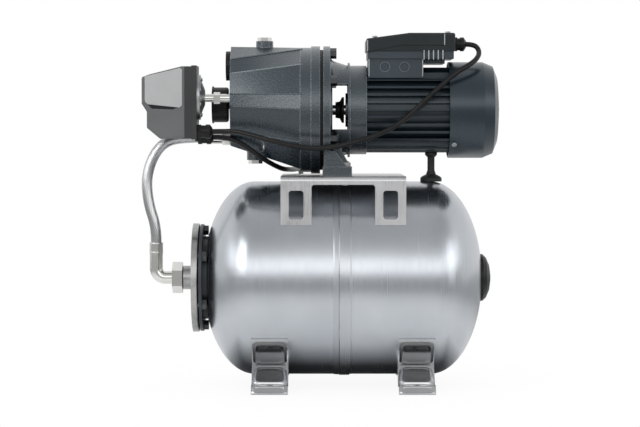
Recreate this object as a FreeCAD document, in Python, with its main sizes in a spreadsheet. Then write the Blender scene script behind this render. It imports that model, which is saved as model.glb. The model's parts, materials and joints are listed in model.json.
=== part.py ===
import FreeCAD, Part

import math
import os
import re

import Sketcher
from FreeCAD import Rotation, Vector

# Booster pump set: a jet pump on a horizontal pressure tank.
# X runs along the tank and the pump, Y away from the front, Z up.
# The origin lies on the floor at the middle of the four foot holes.

SIZES = {
    # pressure tank, its axis along X
    "tank_radius": 135, "tank_wall": 1.5, "tank_half": 123, "tank_end": 72, "floor_gap": 15,
    "seam_left": 6.3, "seam_right": 9.1, "seam_lap": 8, "neck_open": 55,
    # flanged neck, bladder and counter flange
    "neck_bore": 52, "neck_waist": 58, "neck_flare": 71.5, "rim_radius": 75, "neck_reach": 71.3,
    "rim_thick": 4.2, "lip_thick": 2, "lip_radius": 59.5, "bag_gap": 11, "bag_wall": 2.5,
    "bag_end": 53, "plate_thick": 2.5, "plate_radius": 76, "plate_rim": 8.5, "dish_depth": 7,
    "dish_radius": 42, "spigot_radius": 16.5, "spigot_reach": 13, "spigot_bore": 11,
    "flange_bolt_ring": 66.5, "flange_bolt_radius": 4, "flange_bolt_flats": 13,
    "flange_bolt_head": 5.5, "flange_nut_high": 6.5,
    # air valve and its cap
    "valve_radius": 5, "valve_bore": 1.2, "valve_reach": 9, "valve_pin_radius": 0.9,
    "valve_travel": 1.2, "cap_radius": 33, "cap_rise": 14.5, "cap_wall": 2,
    # pressed feet
    "foot_spacing": 200, "foot_width": 50, "foot_sheet": 1.8, "wing_angle": 34,
    "foot_bend_y": 71, "foot_knee_y": 99, "pad_z": 9, "pad_end": 121, "lip_end": 125,
    "foot_hole_y": 109, "foot_hole_radius": 4.5, "foot_flank": 9,
    # bracket over the tank
    "bracket_rise": 9, "bracket_sheet": 3, "bracket_half_x": 85, "bracket_inset": 25,
    "leg_foot": 60, "leg_width": 42, "window_width": 20, "window_sill": 7.74, "window_top": 19,
    "opening_top": 11, "bend_radius": 6, "window_corner": 4,
    # soft foot under the motor
    "buffer_x": 124, "buffer_base": 15, "buffer_base_high": 7, "buffer_post": 5,
    # pump, its axis along X
    "casing_left": 155.7, "casing_band": 57, "casing_flange_left": 44,
    "casing_flange_right": 31.5, "casing_radius": 89, "band_radius": 87, "chamber_radius": 68,
    "chamber_left": 112, "jet_bore": 21, "jet_left": 148,
    "gasket_thick": 4.5, "gasket_radius": 84, "spigot_ring": 72,
    "suction_z": 61.5, "suction_bore": 16.6, "suction_deep": 24, "ring_radius": 20.5,
    "ring_thick": 7, "delivery_bore": 16.6, "delivery_deep": 26, "delivery_x": 92, "delivery_reach": 96,
    "delivery_boss": 24, "plug_x": 109, "plug_boss": 12, "plug_radius": 6.6, "plug_flats": 17,
    "plug_boss_top": 96, "plug_head": 5, "drain_x": 122, "drain_boss_low": 70,
    # jet parts and impeller
    "nozzle_mouth": 7, "venturi_throat": 8, "venturi_radius": 16, "diffuser_radius": 66,
    "diffuser_left": 104, "diffuser_right": 66, "impeller_radius": 58, "impeller_left": 62,
    "impeller_right": 46, "impeller_eye": 19, "impeller_hub": 12, "vane_count": 7,
    "vane_thick": 2.4, "shroud_thick": 2.2,
    # seal, shaft and rotor
    "shaft_radius": 7, "shaft_left": 66, "shaft_right": 205, "seat_radius": 14,
    "seat_out": 11.5, "seat_thick": 7, "seal_radius": 13, "slinger_radius": 18,
    "slinger_left": -10, "slinger_right": 2, "core_radius": 27.6, "core_left": 48,
    "core_right": 118, "stator_bore": 28, "stator_radius": 46, "slot_count": 18,
    "winding_reach": 13, "bearing_radius": 17.5, "bearing_wide": 11,
    "running_gap": 0.05, "front_bearing": 16, "rear_bearing": 139,
    # lantern between pump and motor
    "lantern_inner": 17.5, "lantern_flange": 9.5, "lantern_radius": 89, "lantern_tube": 66, "lantern_wall": 9,
    "shield_left": 9, "shield_right": 33, "shield_radius": 62, "shield_wall": 4.5,
    "side_low": -27, "side_high": 35, "sole_drop": 91, "sole_thick": 13, "sole_half_y": 82,
    "sole_left": -28, "sole_right": 12, "web_half": 5, "foot_bolt_y": 70, "foot_bolt_x": 3,
    "foot_bolt_radius": 4, "foot_bolt_flats": 13, "foot_bolt_head": 5.5,
    "casing_bolt_ring": 79, "casing_bolt_radius": 4, "casing_bolt_flats": 13,
    "casing_bolt_head": 9,
    # motor
    "frame_right": 151, "frame_body": 52.5, "fin_tip": 59.5, "fin_thick": 3, "fin_pitch": 10.4,
    "rear_wall": 5, "rod_ring": 49, "rod_radius": 2, "cover_left": 147, "cover_right": 218,
    "cover_radius": 67, "cover_wall": 1.6, "cover_round": 20, "slot_ring": 34,
    "slot_long": 26, "slot_wide": 4, "grille_slots": 20, "fan_left": 168, "fan_right": 190,
    "fan_radius": 56, "fan_hub": 15, "blade_count": 8, "blade_thick": 2.2,
    # terminal box on the motor
    "box_left": 35, "box_right": 111, "box_half_y": 42, "lid_left": 32, "lid_right": 155,
    "lid_knee": 92, "lid_half_y": 47, "lid_slope": 8, "box_wall": 2.4, "vent_right": 141,
    "lid_screw_hole": 2.1,
    "vent_pitch": 4, "knockout_radius": 6.5, "capacitor_radius": 13, "capacitor_long": 58,
    "box_gland_y": -20,
    # pressure switch
    "switch_y": -50, "switch_half": 31, "switch_left": 275, "switch_right": 207,
    "base_right": 200, "cover_skin": 2,
    "diaphragm_radius": 31, "diaphragm_right": 190, "plunger_radius": 4, "plunger_left": 222,
    "lever_sheet": 1.5,
    "lever_half": 12, "spring_radius": 7, "spring_wire": 1.6, "spring_left": 262,
    "spring_right": 234, "spring_turns": 6, "adjuster_flats": 14,
    "near_gland_y": -66, "far_gland_y": -40, "gland_tail": 6,
    "gland_radius": 8.5, "gland_flats": 19, "gland_body": 12, "gland_nut": 9,
    # nipple and gauge on the front face of the casing
    "nipple_radius": 5.6, "nipple_bore": 3.2, "nipple_flats": 14, "gauge_y": 14,
    "gauge_radius": 24.5, "gauge_left": 183, "gauge_right": 160,
    "gauge_stem": 6, "stem_deep": 6, "gauge_wall": 1.6, "bezel_rise": 1.5, "needle_long": 17,
    # braided hose, leads and plug
    "hose_radius": 7.5, "crimp_radius": 9.4, "crimp_long": 16, "hose_port_y": 12,
    "hose_boss": 11, "hose_tail": 6.5, "union_flats": 38, "union_reach": 115.5, "union_long": 14.3,
    "elbow_radius": 9, "lead_radius": 3.5, "plug_long": 42, "plug_wide": 34, "plug_high": 17,
    "soft_edge": 3,
}

# Sizes that follow from others, so that the pieces stay together when one of them changes
TIED = {
    "tank_z": "tank_radius + floor_gap", "rim_back": "tank_half + neck_reach",
    "bag_radius": "tank_radius - bag_gap", "bag_reach": "tank_half + bag_end",
    "union_left": "tank_half + union_reach", "union_right": "union_left - union_long",
    "bracket_top": "tank_z + tank_radius + bracket_rise",
    "bracket_half_y": "tank_radius - bracket_inset",
    "window_low":
    "tank_z + sqrt(tank_radius * tank_radius - bracket_half_y * bracket_half_y) + window_sill",
    "window_high": "bracket_top - window_top",
    "opening_high": "bracket_top - opening_top", "pump_z": "bracket_top + sole_drop",
    "box_low": "pump_z + 44", "vent_low": "pump_z + 64", "tray_low": "pump_z + 70.5",
    "lid_low": "pump_z + 81", "lid_top": "pump_z + 106", "lid_edge": "lid_top - lid_slope",
    "box_gland_z": "pump_z + 91", "base_low": "pump_z - 41", "base_high": "pump_z + 60",
    "switch_z": "pump_z + 17", "lever_pivot_z": "pump_z - 13", "lever_top": "pump_z + 49",
    "spring_z": "pump_z + 33", "near_gland_z": "pump_z - 30", "far_gland_z": "pump_z - 38",
    "gauge_z": "pump_z + 7.4", "hose_port_z": "pump_z - 38",
}

doc = FreeCAD.newDocument("booster_pump_set")
sheet = doc.addObject("Spreadsheet::Sheet", "Sizes")
for row, (alias, value) in enumerate([*SIZES.items(), *TIED.items()], start=1):
    sheet.set(f"A{row}", alias)
    sheet.set(f"B{row}", f"={value}")
    sheet.setAlias(f"B{row}", alias)
working = doc.addObject("Spreadsheet::Sheet", "Working")
doc.recompute()

NODES = {}
WORD = re.compile(r"[a-z][a-z_]+")
X_AXIS = Vector(1, 0, 0)
Y_AXIS = Vector(0, 1, 0)
Z_AXIS = Vector(0, 0, 1)
TURNS = {"X": Rotation(Y_AXIS, 90), "Y": Rotation(X_AXIS, -90), "Z": Rotation()}


def size(alias):
    """The value of one driving dimension."""
    return float(getattr(sheet, alias))


def bound(text):
    """An expression in which every alias points at the sheet."""
    return WORD.sub(lambda word: "Sizes." + word[0] if word[0] in {**SIZES, **TIED} else word[0],
                    str(text))


def number(text):
    """The present value of an expression, worked out in a cell of a sheet of its own."""
    working.set("A1", "=" + bound(text))
    working.recompute()
    return float(working.get("A1"))


def keep(item, label):
    """Make an object a sub-part that is written to a file of its own."""
    item.Label = label
    NODES[label] = item
    return item


def move(item, place):
    """Bind an object's place to three expressions."""
    for axis, text in zip("xyz", place):
        item.setExpression(f".Placement.Base.{axis}", bound(text))


def cylinder(radius, low, high, axis="X", at=("0", "0")):
    """A cylinder along an axis from low to high; at gives its other two coordinates."""
    item = doc.addObject("Part::Cylinder", "Cylinder")
    item.Placement.Rotation = TURNS[axis]
    item.setExpression("Radius", bound(radius))
    item.setExpression("Height", bound(f"({high}) - ({low})"))
    place = list(at)
    place.insert("XYZ".index(axis), low)
    move(item, place)
    return item


def box(low, high):
    """A box between two corners given as expressions."""
    item = doc.addObject("Part::Box", "Box")
    for name, start, end in zip(("Length", "Width", "Height"), low, high):
        item.setExpression(name, bound(f"({end}) - ({start})"))
    move(item, low)
    return item


def prism(flats, low, high, axis="X", at=("0", "0")):
    """A hexagon bar of a given width across its flats."""
    item = doc.addObject("Part::Prism", "Prism")
    item.Polygon = 6
    item.Placement.Rotation = TURNS[axis]
    item.setExpression("Circumradius", bound(f"({flats}) / 2 / cos(30)"))
    item.setExpression("Height", bound(f"({high}) - ({low})"))
    place = list(at)
    place.insert("XYZ".index(axis), low)
    move(item, place)
    return item


def fuse(*items):
    """One solid made of several."""
    item = doc.addObject("Part::MultiFuse", "Fuse")
    item.Shapes = list(items)
    item.Refine = True
    return item


def cut(base, *tools):
    """The base without the tools."""
    for tool in tools:
        item = doc.addObject("Part::Cut", "Cut")
        item.Base = base
        item.Tool = tool
        base = item
    return base


def common(first, second):
    """What two solids share."""
    item = doc.addObject("Part::Common", "Common")
    item.Base = first
    item.Tool = second
    return item


def together(items):
    """Separate solids that share a node."""
    item = doc.addObject("Part::Compound", "Group")
    item.Links = list(items)
    return item


def coded(shape):
    """A shape made by code from the sheet's values, where no feature fits."""
    item = doc.addObject("Part::Feature", "Shape")
    item.Shape = shape
    return item


def origin_part(body, role):
    """One of the planes or axes of a body's own origin."""
    return next(part for part in body.Origin.OriginFeatures if part.Role == role)


def outline(body, plane, points, offset="0"):
    """A closed sketch through points whose coordinates are bound expressions."""
    sketch = body.newObject("Sketcher::SketchObject", "Outline")
    sketch.AttachmentSupport = (origin_part(body, plane), [""])
    sketch.MapMode = "FlatFace"
    sketch.setExpression(".AttachmentOffset.Base.z", bound(offset))
    places = [Vector(number(across), number(up), 0) for across, up in points]
    count = len(points)
    for index in range(count):
        sketch.addGeometry(Part.LineSegment(places[index], places[(index + 1) % count]), False)
    for index in range(count):
        follower = (index + 1) % count
        sketch.addConstraint(Sketcher.Constraint("Coincident", index, 2, follower, 1))
    for index, (across, up) in enumerate(points):
        for kind, text, place in (
            ("DistanceX", across, places[index].x),
            ("DistanceY", up, places[index].y),
        ):
            spot = sketch.addConstraint(Sketcher.Constraint(kind, -1, 1, index, 1, place))
            sketch.setExpression(f"Constraints[{spot}]", bound(text))
    return sketch


def new_body(place=("0", "0", "0")):
    """An empty body at a bound place."""
    body = doc.addObject("PartDesign::Body", "Body")
    move(body, place)
    return body


def turned(points, place=("0", "0", "0"), axis="X_Axis", plane="XZ_Plane"):
    """A body of revolution from a half section given along and across its axis."""
    body = new_body(place)
    sketch = outline(body, plane, points)
    spin = body.newObject("PartDesign::Revolution", "Revolution")
    spin.Profile = sketch
    spin.ReferenceAxis = (origin_part(body, axis), [""])
    spin.Angle = 360
    doc.recompute()
    return body


def padded(body, plane, points, length, offset="0", middle=False):
    """Add a prism of a sketched outline to a body."""
    sketch = outline(body, plane, points, offset)
    pad = body.newObject("PartDesign::Pad", "Pad")
    pad.Profile = sketch
    pad.setExpression("Length", bound(length))
    pad.Midplane = middle
    doc.recompute()
    return pad


def rectangle(left, low, right, high):
    """The four corners of a rectangle."""
    return [(left, low), (right, low), (right, high), (left, high)]


def dished_shell(side):
    """Half of the tank: an elliptical end, a straight wall and its part of the lap seam."""
    radius, wall = size("tank_radius"), size("tank_wall")
    half, depth = side * size("tank_half"), size("tank_end")
    opening = size("neck_open") if side < 0 else size("valve_radius")

    def dish(edge, deep):
        tip = Vector(half + side * deep, 0, 0)
        ellipse = Part.Ellipse(Vector(half, 0, edge), tip, Vector(half, 0, 0))
        angle = math.acos(opening / edge)
        arc = Part.ArcOfEllipse(ellipse, 0, angle).toShape()
        return arc, ellipse.value(angle)

    outer, outer_end = dish(radius, depth)
    inner, inner_end = dish(radius - wall, depth - wall)
    if side < 0:
        bell, seam, lap = radius + wall, -size("seam_left"), size("seam_right")
        mouth = size("seam_right") - size("seam_lap")
        walls = [
            (half, radius), (seam, radius), (seam + wall, bell), (lap, bell), (lap, radius),
            (mouth, radius), (mouth, radius - wall), (half, radius - wall),
        ]
    else:
        mouth = size("seam_right") - size("seam_lap")
        walls = [(half, radius), (mouth, radius), (mouth, radius - wall), (half, radius - wall)]
    points = [Vector(along, 0, up) for along, up in walls]
    straight = [Part.makeLine(start, end) for start, end in zip(points, points[1:])]
    edges = [outer, *straight, inner, Part.makeLine(outer_end, inner_end)]
    face = Part.Face(Part.Wire(Part.__sortEdges__(edges)))
    shape = face.revolve(Vector(), X_AXIS, 360)
    shape.translate(Vector(0, 0, size("tank_z")))
    return coded(shape)


def tank_solid():
    """The tank's outer form as one solid, used to trim what is welded on it."""
    tank = cylinder("tank_radius", "-tank_half", "tank_half", at=("0", "tank_z"))
    ends = []
    for side in ("-", ""):
        end = doc.addObject("Part::Ellipsoid", "Dish")
        end.Placement.Rotation = TURNS["X"]
        end.setExpression("Radius1", bound("tank_end"))
        end.setExpression("Radius2", bound("tank_radius"))
        end.setExpression("Radius3", bound("tank_radius"))
        move(end, (f"{side}tank_half", "0", "tank_z"))
        ends.append(end)
    return tank, ends


def make_tank():
    """Both halves, the neck, the bladder and the counter flange with its bolts."""
    keep(dished_shell(-1), "tank_shell_left")
    keep(dished_shell(1), "tank_shell_right")
    tank, ends = tank_solid()
    axis = ("0", "0", "tank_z")
    neck = turned([
        ("-rim_back - rim_thick", "neck_bore"), ("-rim_back - rim_thick", "rim_radius"),
        ("-rim_back", "rim_radius"), ("-rim_back", "neck_waist"),
        ("-rim_back + 7", "neck_waist"), ("-rim_back + 10", "neck_flare"),
        ("-tank_half - 40", "neck_flare"), ("-tank_half - 40", "neck_open + 3"),
        ("-rim_back + 2", "neck_open - 0.2"), ("-rim_back", "neck_bore"),
    ], axis)
    keep(cut(neck, ends[0]), "tank_neck")
    bag = turned([
        ("-rim_back - rim_thick - lip_thick", "neck_bore - bag_wall"),
        ("-rim_back - rim_thick - lip_thick", "lip_radius"),
        ("-rim_back - rim_thick", "lip_radius"),
        ("-rim_back - rim_thick", "neck_bore - 0.5"), ("-rim_back + 22", "neck_bore - 0.5"),
        ("-tank_half - 10", "bag_radius - 22"), ("-tank_half + 14", "bag_radius"),
        ("tank_half - 10", "bag_radius"), ("bag_reach - 26", "bag_radius - 26"),
        ("bag_reach", "bag_radius - 84"), ("bag_reach", "0"), ("bag_reach - bag_wall", "0"),
        ("bag_reach - bag_wall", "bag_radius - 85"),
        ("bag_reach - 27", "bag_radius - 28.5"), ("tank_half - 11", "bag_radius - bag_wall"),
        ("-tank_half + 15", "bag_radius - bag_wall"),
        ("-tank_half - 8", "bag_radius - 24"),
        ("-rim_back + 23", "neck_bore - bag_wall"),
    ], axis)
    keep(bag, "bladder")
    back = "-rim_back - rim_thick - lip_thick"
    flange = turned([
        (f"{back} - dish_depth", "spigot_bore"),
        (f"{back} - dish_depth - plate_thick - spigot_reach", "spigot_bore"),
        (f"{back} - dish_depth - plate_thick - spigot_reach", "spigot_radius"),
        (f"{back} - dish_depth - plate_thick", "spigot_radius"),
        (f"{back} - dish_depth - plate_thick", "dish_radius"),
        (f"{back} - plate_thick", "dish_radius + 9"),
        (f"{back} - plate_thick", "plate_radius - plate_thick"),
        (f"{back} - plate_rim", "plate_radius - plate_thick"),
        (f"{back} - plate_rim", "plate_radius"), (f"{back} - 1", "plate_radius"),
        (back, "plate_radius - 1"), (back, "dish_radius + 9"),
        (f"{back} - dish_depth", "dish_radius - 1"),
    ], axis)
    bolts, drills = [], []
    for turn in range(6):
        ring = f"flange_bolt_ring * sin({60 * turn})"
        high = f"tank_z + flange_bolt_ring * cos({60 * turn})"
        at = (ring, high)
        drills.append(cylinder("flange_bolt_radius + 0.3", f"{back} - 12", "-rim_back + 1", at=at))
        head = prism("flange_bolt_flats", f"{back} - plate_thick - flange_bolt_head",
                     f"{back} - plate_thick", at=at)
        stem = cylinder("flange_bolt_radius", f"{back} - plate_thick - 1", "-rim_back + 6", at=at)
        nut = prism("flange_bolt_flats", "-rim_back", "-rim_back + flange_nut_high", at=at)
        for item in (head, nut):
            item.Placement.Rotation = Rotation(X_AXIS, 30 - 60 * turn).multiply(TURNS["X"])
        bolts.append(fuse(head, stem))
        bolts.append(cut(nut, cylinder("flange_bolt_radius", "-rim_back - 1", "-rim_back + 9",
                                       at=at)))
    plate_drills = together(drills)
    keep(cut(flange, plate_drills), "counter_flange")
    neck_cut = cut(NODES["tank_neck"], plate_drills)
    NODES["tank_neck"].Label = "neck_blank"
    keep(neck_cut, "tank_neck")
    keep(together(bolts), "flange_bolts")
    return tank


def make_air_valve():
    """The air valve at the right end, its pin and the dome cap over it."""
    apex = "tank_half + tank_end"
    at = ("0", "tank_z")
    body = cylinder("valve_radius - 0.02", f"{apex} - 6", f"{apex} + valve_reach", at=at)
    collar = cylinder("valve_radius + 5", f"{apex} - tank_wall - 5",
                      f"{apex} - tank_wall - 1", at=at)
    bore = cylinder("valve_bore", f"{apex} - 4", f"{apex} + valve_reach + 1", at=at)
    keep(cut(fuse(body, collar), bore), "air_valve")
    pin = cylinder("valve_pin_radius", f"{apex} - 4 + valve_travel + 0.3",
                   f"{apex} + valve_reach - 0.5", at=at)
    keep(pin, "air_valve_pin")
    flat = ("tank_half + tank_end * sqrt(1 - cap_radius * cap_radius / tank_radius"
            " / tank_radius) + 0.3")
    cap = turned([
        (flat, "cap_radius - cap_wall"), (flat, "cap_radius"), (f"{flat} + 3", "cap_radius"),
        (f"{flat} + cap_rise * 0.55", "cap_radius * 0.86"),
        (f"{flat} + cap_rise * 0.86", "cap_radius * 0.55"),
        (f"{flat} + cap_rise * 0.98", "cap_radius * 0.2"), (f"{flat} + cap_rise", "0"),
        (f"{flat} + cap_rise - cap_wall", "0"),
        (f"{flat} + cap_rise - cap_wall", "valve_radius"),
        (f"{apex} + 2.4", "valve_radius"), (f"{apex} + 2.4", "valve_radius + 2"),
        (f"{flat} + cap_rise * 0.88 - cap_wall", "valve_radius + 3"),
        (f"{flat} + cap_rise * 0.8 - cap_wall", "cap_radius * 0.52"),
        (f"{flat} + cap_rise * 0.5 - cap_wall", "cap_radius * 0.82"),
    ], ("0", "0", "tank_z"))
    keep(cap, "air_valve_cap")


def make_foot(side, label):
    """A pressed foot: a saddle band under the tank and two splayed legs with pads."""
    middle = f"{side}foot_spacing / 2"
    left, right = f"{middle} - foot_width / 2", f"{middle} + foot_width / 2"
    at = ("0", "tank_z")
    band = cylinder("tank_radius + foot_sheet", left, right, at=at)
    band.setExpression("Angle", bound("180 - 2 * wing_angle"))
    band.Placement.Rotation = Rotation(X_AXIS, size("wing_angle") - 180).multiply(
        Rotation(X_AXIS, 90)).multiply(Rotation(Y_AXIS, 90))
    inside = cylinder("tank_radius", f"{left} - 1", f"{right} + 1", at=at)
    body = new_body((middle, "0", "0"))
    drop = "sqrt(tank_radius * tank_radius - foot_bend_y * foot_bend_y)"
    knee = f"tank_z - {drop}"
    for way in ("-", ""):
        across = way + "1 * "
        leg = [
            (f"{across}(foot_bend_y - 6)", f"{knee} - 3"), (f"{across}foot_bend_y", f"{knee}"),
            (f"{across}foot_knee_y", "pad_z + foot_sheet"),
            (f"{across}pad_end", "pad_z + foot_sheet"),
            (f"{across}(lip_end + foot_sheet)", "0"), (f"{across}lip_end", "0"),
            (f"{across}(pad_end - 1)", "pad_z"),
            (f"{across}(foot_knee_y - 0.7)", "pad_z"),
            (f"{across}(foot_bend_y - foot_sheet)", f"{knee} - 4"),
        ]
        padded(body, "YZ_Plane", leg, "foot_width", middle=True)
        flank = [
            (f"{across}(foot_bend_y - 1)", f"{knee} - 1"),
            (f"{across}(foot_knee_y + 2)", "pad_z + 1"),
            (f"{across}(foot_knee_y - foot_flank)", "pad_z - 2"),
            (f"{across}(foot_bend_y - foot_flank)", f"{knee} - 5"),
        ]
        for end in ("-foot_width / 2", "foot_width / 2 - foot_sheet"):
            padded(body, "YZ_Plane", flank, "foot_sheet", offset=end)
    holes = [cylinder("foot_hole_radius", "0", "pad_z + 10", "Z", (middle, f"{way}foot_hole_y"))
             for way in ("-", "")]
    keep(cut(fuse(cut(band, inside), body), inside, *holes), label)


def make_bracket(tank):
    """The inverted U over the tank, with leg windows and a wide opening between the legs."""
    body = new_body()
    half, top, low = "bracket_half_y", "bracket_top", "tank_z + leg_foot"
    inner, under = "bracket_half_y - bracket_sheet", "bracket_top - bracket_sheet"
    channel = [
        (f"-{half}", low), (f"-({inner})", low), (f"-({inner})", under), (inner, under),
        (inner, low), (half, low), (half, top),
        (f"-{half}", top),
    ]
    pad = padded(body, "YZ_Plane", channel, "2 * bracket_half_x", middle=True)
    bends = [f"Edge{index}" for index, edge in enumerate(pad.Shape.Edges, start=1)
             if abs(edge.tangentAt(edge.FirstParameter).x) > 0.99
             and edge.CenterOfMass.z > size("bracket_top") - 0.01]
    fillet = body.newObject("PartDesign::Fillet", "Bends")
    fillet.Base = (pad, bends)
    fillet.setExpression("Radius", bound("bend_radius"))
    doc.recompute()
    windows = [
        ("-bracket_half_x + leg_width", "0", "bracket_half_x - leg_width", "opening_high"),
        ("-bracket_half_x + leg_width / 2 - window_width / 2", "window_low",
         "-bracket_half_x + leg_width / 2 + window_width / 2", "window_high"),
        ("bracket_half_x - leg_width / 2 - window_width / 2", "window_low",
         "bracket_half_x - leg_width / 2 + window_width / 2", "window_high"),
    ]
    for left, low, right, high in windows:
        sketch = outline(body, "XZ_Plane", rectangle(left, low, right, high))
        pocket = body.newObject("PartDesign::Pocket", "Window")
        pocket.Profile = sketch
        pocket.setExpression("Length", bound("4 * bracket_half_y"))
        pocket.Midplane = True
        doc.recompute()
    corners = [f"Edge{index}" for index, edge in enumerate(pocket.Shape.Edges, start=1)
               if abs(edge.tangentAt(edge.FirstParameter).y) > 0.99 and edge.Length < 4
               and edge.CenterOfMass.z < size("opening_high") + 0.1
               and edge.CenterOfMass.z > size("window_low") - 0.1]
    rounding = body.newObject("PartDesign::Fillet", "Corners")
    rounding.Base = (pocket, corners)
    rounding.setExpression("Radius", bound("window_corner"))
    doc.recompute()
    holes = [cylinder("foot_bolt_radius + 0.5", "bracket_top - 10", "bracket_top + 1", "Z",
                      ("foot_bolt_x", f"{way}foot_bolt_y")) for way in ("-", "")]
    keep(cut(body, tank, *holes), "pump_bracket")


def make_buffer():
    """The soft foot between the tank and the motor."""
    low = "tank_z + tank_radius"
    under = "pump_z - fin_tip"
    keep(turned([
        ("0", low), ("buffer_base", low), ("buffer_base", f"{low} + buffer_base_high - 2"),
        ("buffer_base - 2", f"{low} + buffer_base_high"),
        ("buffer_post + 2", f"{low} + buffer_base_high + 3"),
        ("buffer_post", f"{low} + buffer_base_high + 9"), ("buffer_post", f"{under} - 7"),
        ("buffer_post + 3.5", f"{under} - 3"), ("buffer_post + 3.5", under), ("0", under),
    ], ("buffer_x", "0", "0"), "Z_Axis"), "support_foot")


CASING_LEFT = ((10, 88), (46, 69.5), (55, 49.5), (60, 21.5), (60, 4.6), (50, -29), (30, -50))
CASING_RIGHT = (84, 75, 45.5, 14, 0, -31, -72)


def make_casing():
    """The cast casing: facets that open from a narrow front to the round flange."""
    body = new_body(("0", "0", "pump_z"))
    front = [(y, z) for y, z in CASING_LEFT] + [(-y, z) for y, z in reversed(CASING_LEFT)]
    back = [(f"band_radius * cos({turn})", f"band_radius * sin({turn})") for turn in CASING_RIGHT]
    back += [(f"-band_radius * cos({turn})", f"band_radius * sin({turn})")
             for turn in reversed(CASING_RIGHT)]
    small = outline(body, "YZ_Plane", front, "-casing_left")
    large = outline(body, "YZ_Plane", back, "-casing_band")
    loft = body.newObject("PartDesign::AdditiveLoft", "Facets")
    loft.Profile = small
    loft.Sections = [large]
    loft.Ruled = True
    doc.recompute()
    at = ("0", "pump_z")
    band = cylinder("band_radius", "-casing_band - 2", "-casing_flange_left", at=at)
    flange = cylinder("casing_radius", "-casing_flange_left", "-casing_flange_right", at=at)
    plug_boss = cylinder("plug_boss", "pump_z + 50", "pump_z + plug_boss_top", "Z",
                         ("-plug_x", "0"))
    drain_boss = cylinder("plug_boss", "pump_z - drain_boss_low", "pump_z - 50", "Z",
                          ("-drain_x", "0"))
    delivery = cylinder("delivery_boss", "40", "delivery_reach", "Y",
                        ("-delivery_x", "pump_z + 12"))
    port = cylinder("suction_bore + 6", "-casing_left - 0.2", "-casing_left + 12",
                    at=("0", "pump_z + suction_z"))
    hose_boss = cylinder("hose_boss", "-casing_left - 2", "-casing_left + 14",
                         at=("hose_port_y", "hose_port_z"))
    whole = fuse(body, band, flange, plug_boss, drain_boss, delivery, port, hose_boss)
    tools = [
        cylinder("chamber_radius", "-chamber_left", "-casing_flange_right + 1", at=at),
        cylinder("spigot_ring", "-casing_flange_right - 5", "-casing_flange_right + 1", at=at),
        cylinder("jet_bore", "-jet_left", "-chamber_left + 1", at=at),
        cylinder("suction_bore", "-casing_left - 1", "-casing_left + suction_deep",
                 at=("0", "pump_z + suction_z")),
        cylinder("9", "pump_z", "pump_z + suction_z", "Z", ("-casing_left + 18", "0")),
        cylinder("delivery_bore", "delivery_reach - delivery_deep", "delivery_reach + 1", "Y",
                 ("-delivery_x", "pump_z + 12")),
        cylinder("delivery_bore - 3", "30", "delivery_reach", "Y",
                 ("-delivery_x", "pump_z + 12")),
        cylinder("plug_radius", "pump_z + 40", "pump_z + plug_boss_top + 1", "Z",
                 ("-plug_x", "0")),
        cylinder("plug_radius", "pump_z - drain_boss_low - 1", "pump_z - 40", "Z",
                 ("-drain_x", "0")),
        cylinder("nipple_radius", "-casing_left - 1", "-casing_left + stem_deep",
                 at=("switch_y", "switch_z - 1")),
        cylinder("gauge_stem", "-casing_left - 1", "-casing_left + stem_deep",
                 at=("gauge_y", "gauge_z")),
        cylinder("hose_tail", "-casing_left - 3", "-casing_left + 20",
                 at=("hose_port_y", "hose_port_z")),
    ]
    tools += [cylinder("casing_bolt_radius + 0.2", "-casing_flange_left - 1",
                       "-casing_flange_right + 1", at=ring_place(turn, "casing_bolt_ring", 0))
              for turn in range(6)]
    keep(cut(whole, *tools), "pump_casing")


def ring_place(turn, ring, lean, count=6, centre="pump_z"):
    """The place of one of several equal holes on a ring about an axis along X."""
    angle = 360 / count * turn + lean
    return (f"{ring} * sin({angle})", f"{centre} + {ring} * cos({angle})")


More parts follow.
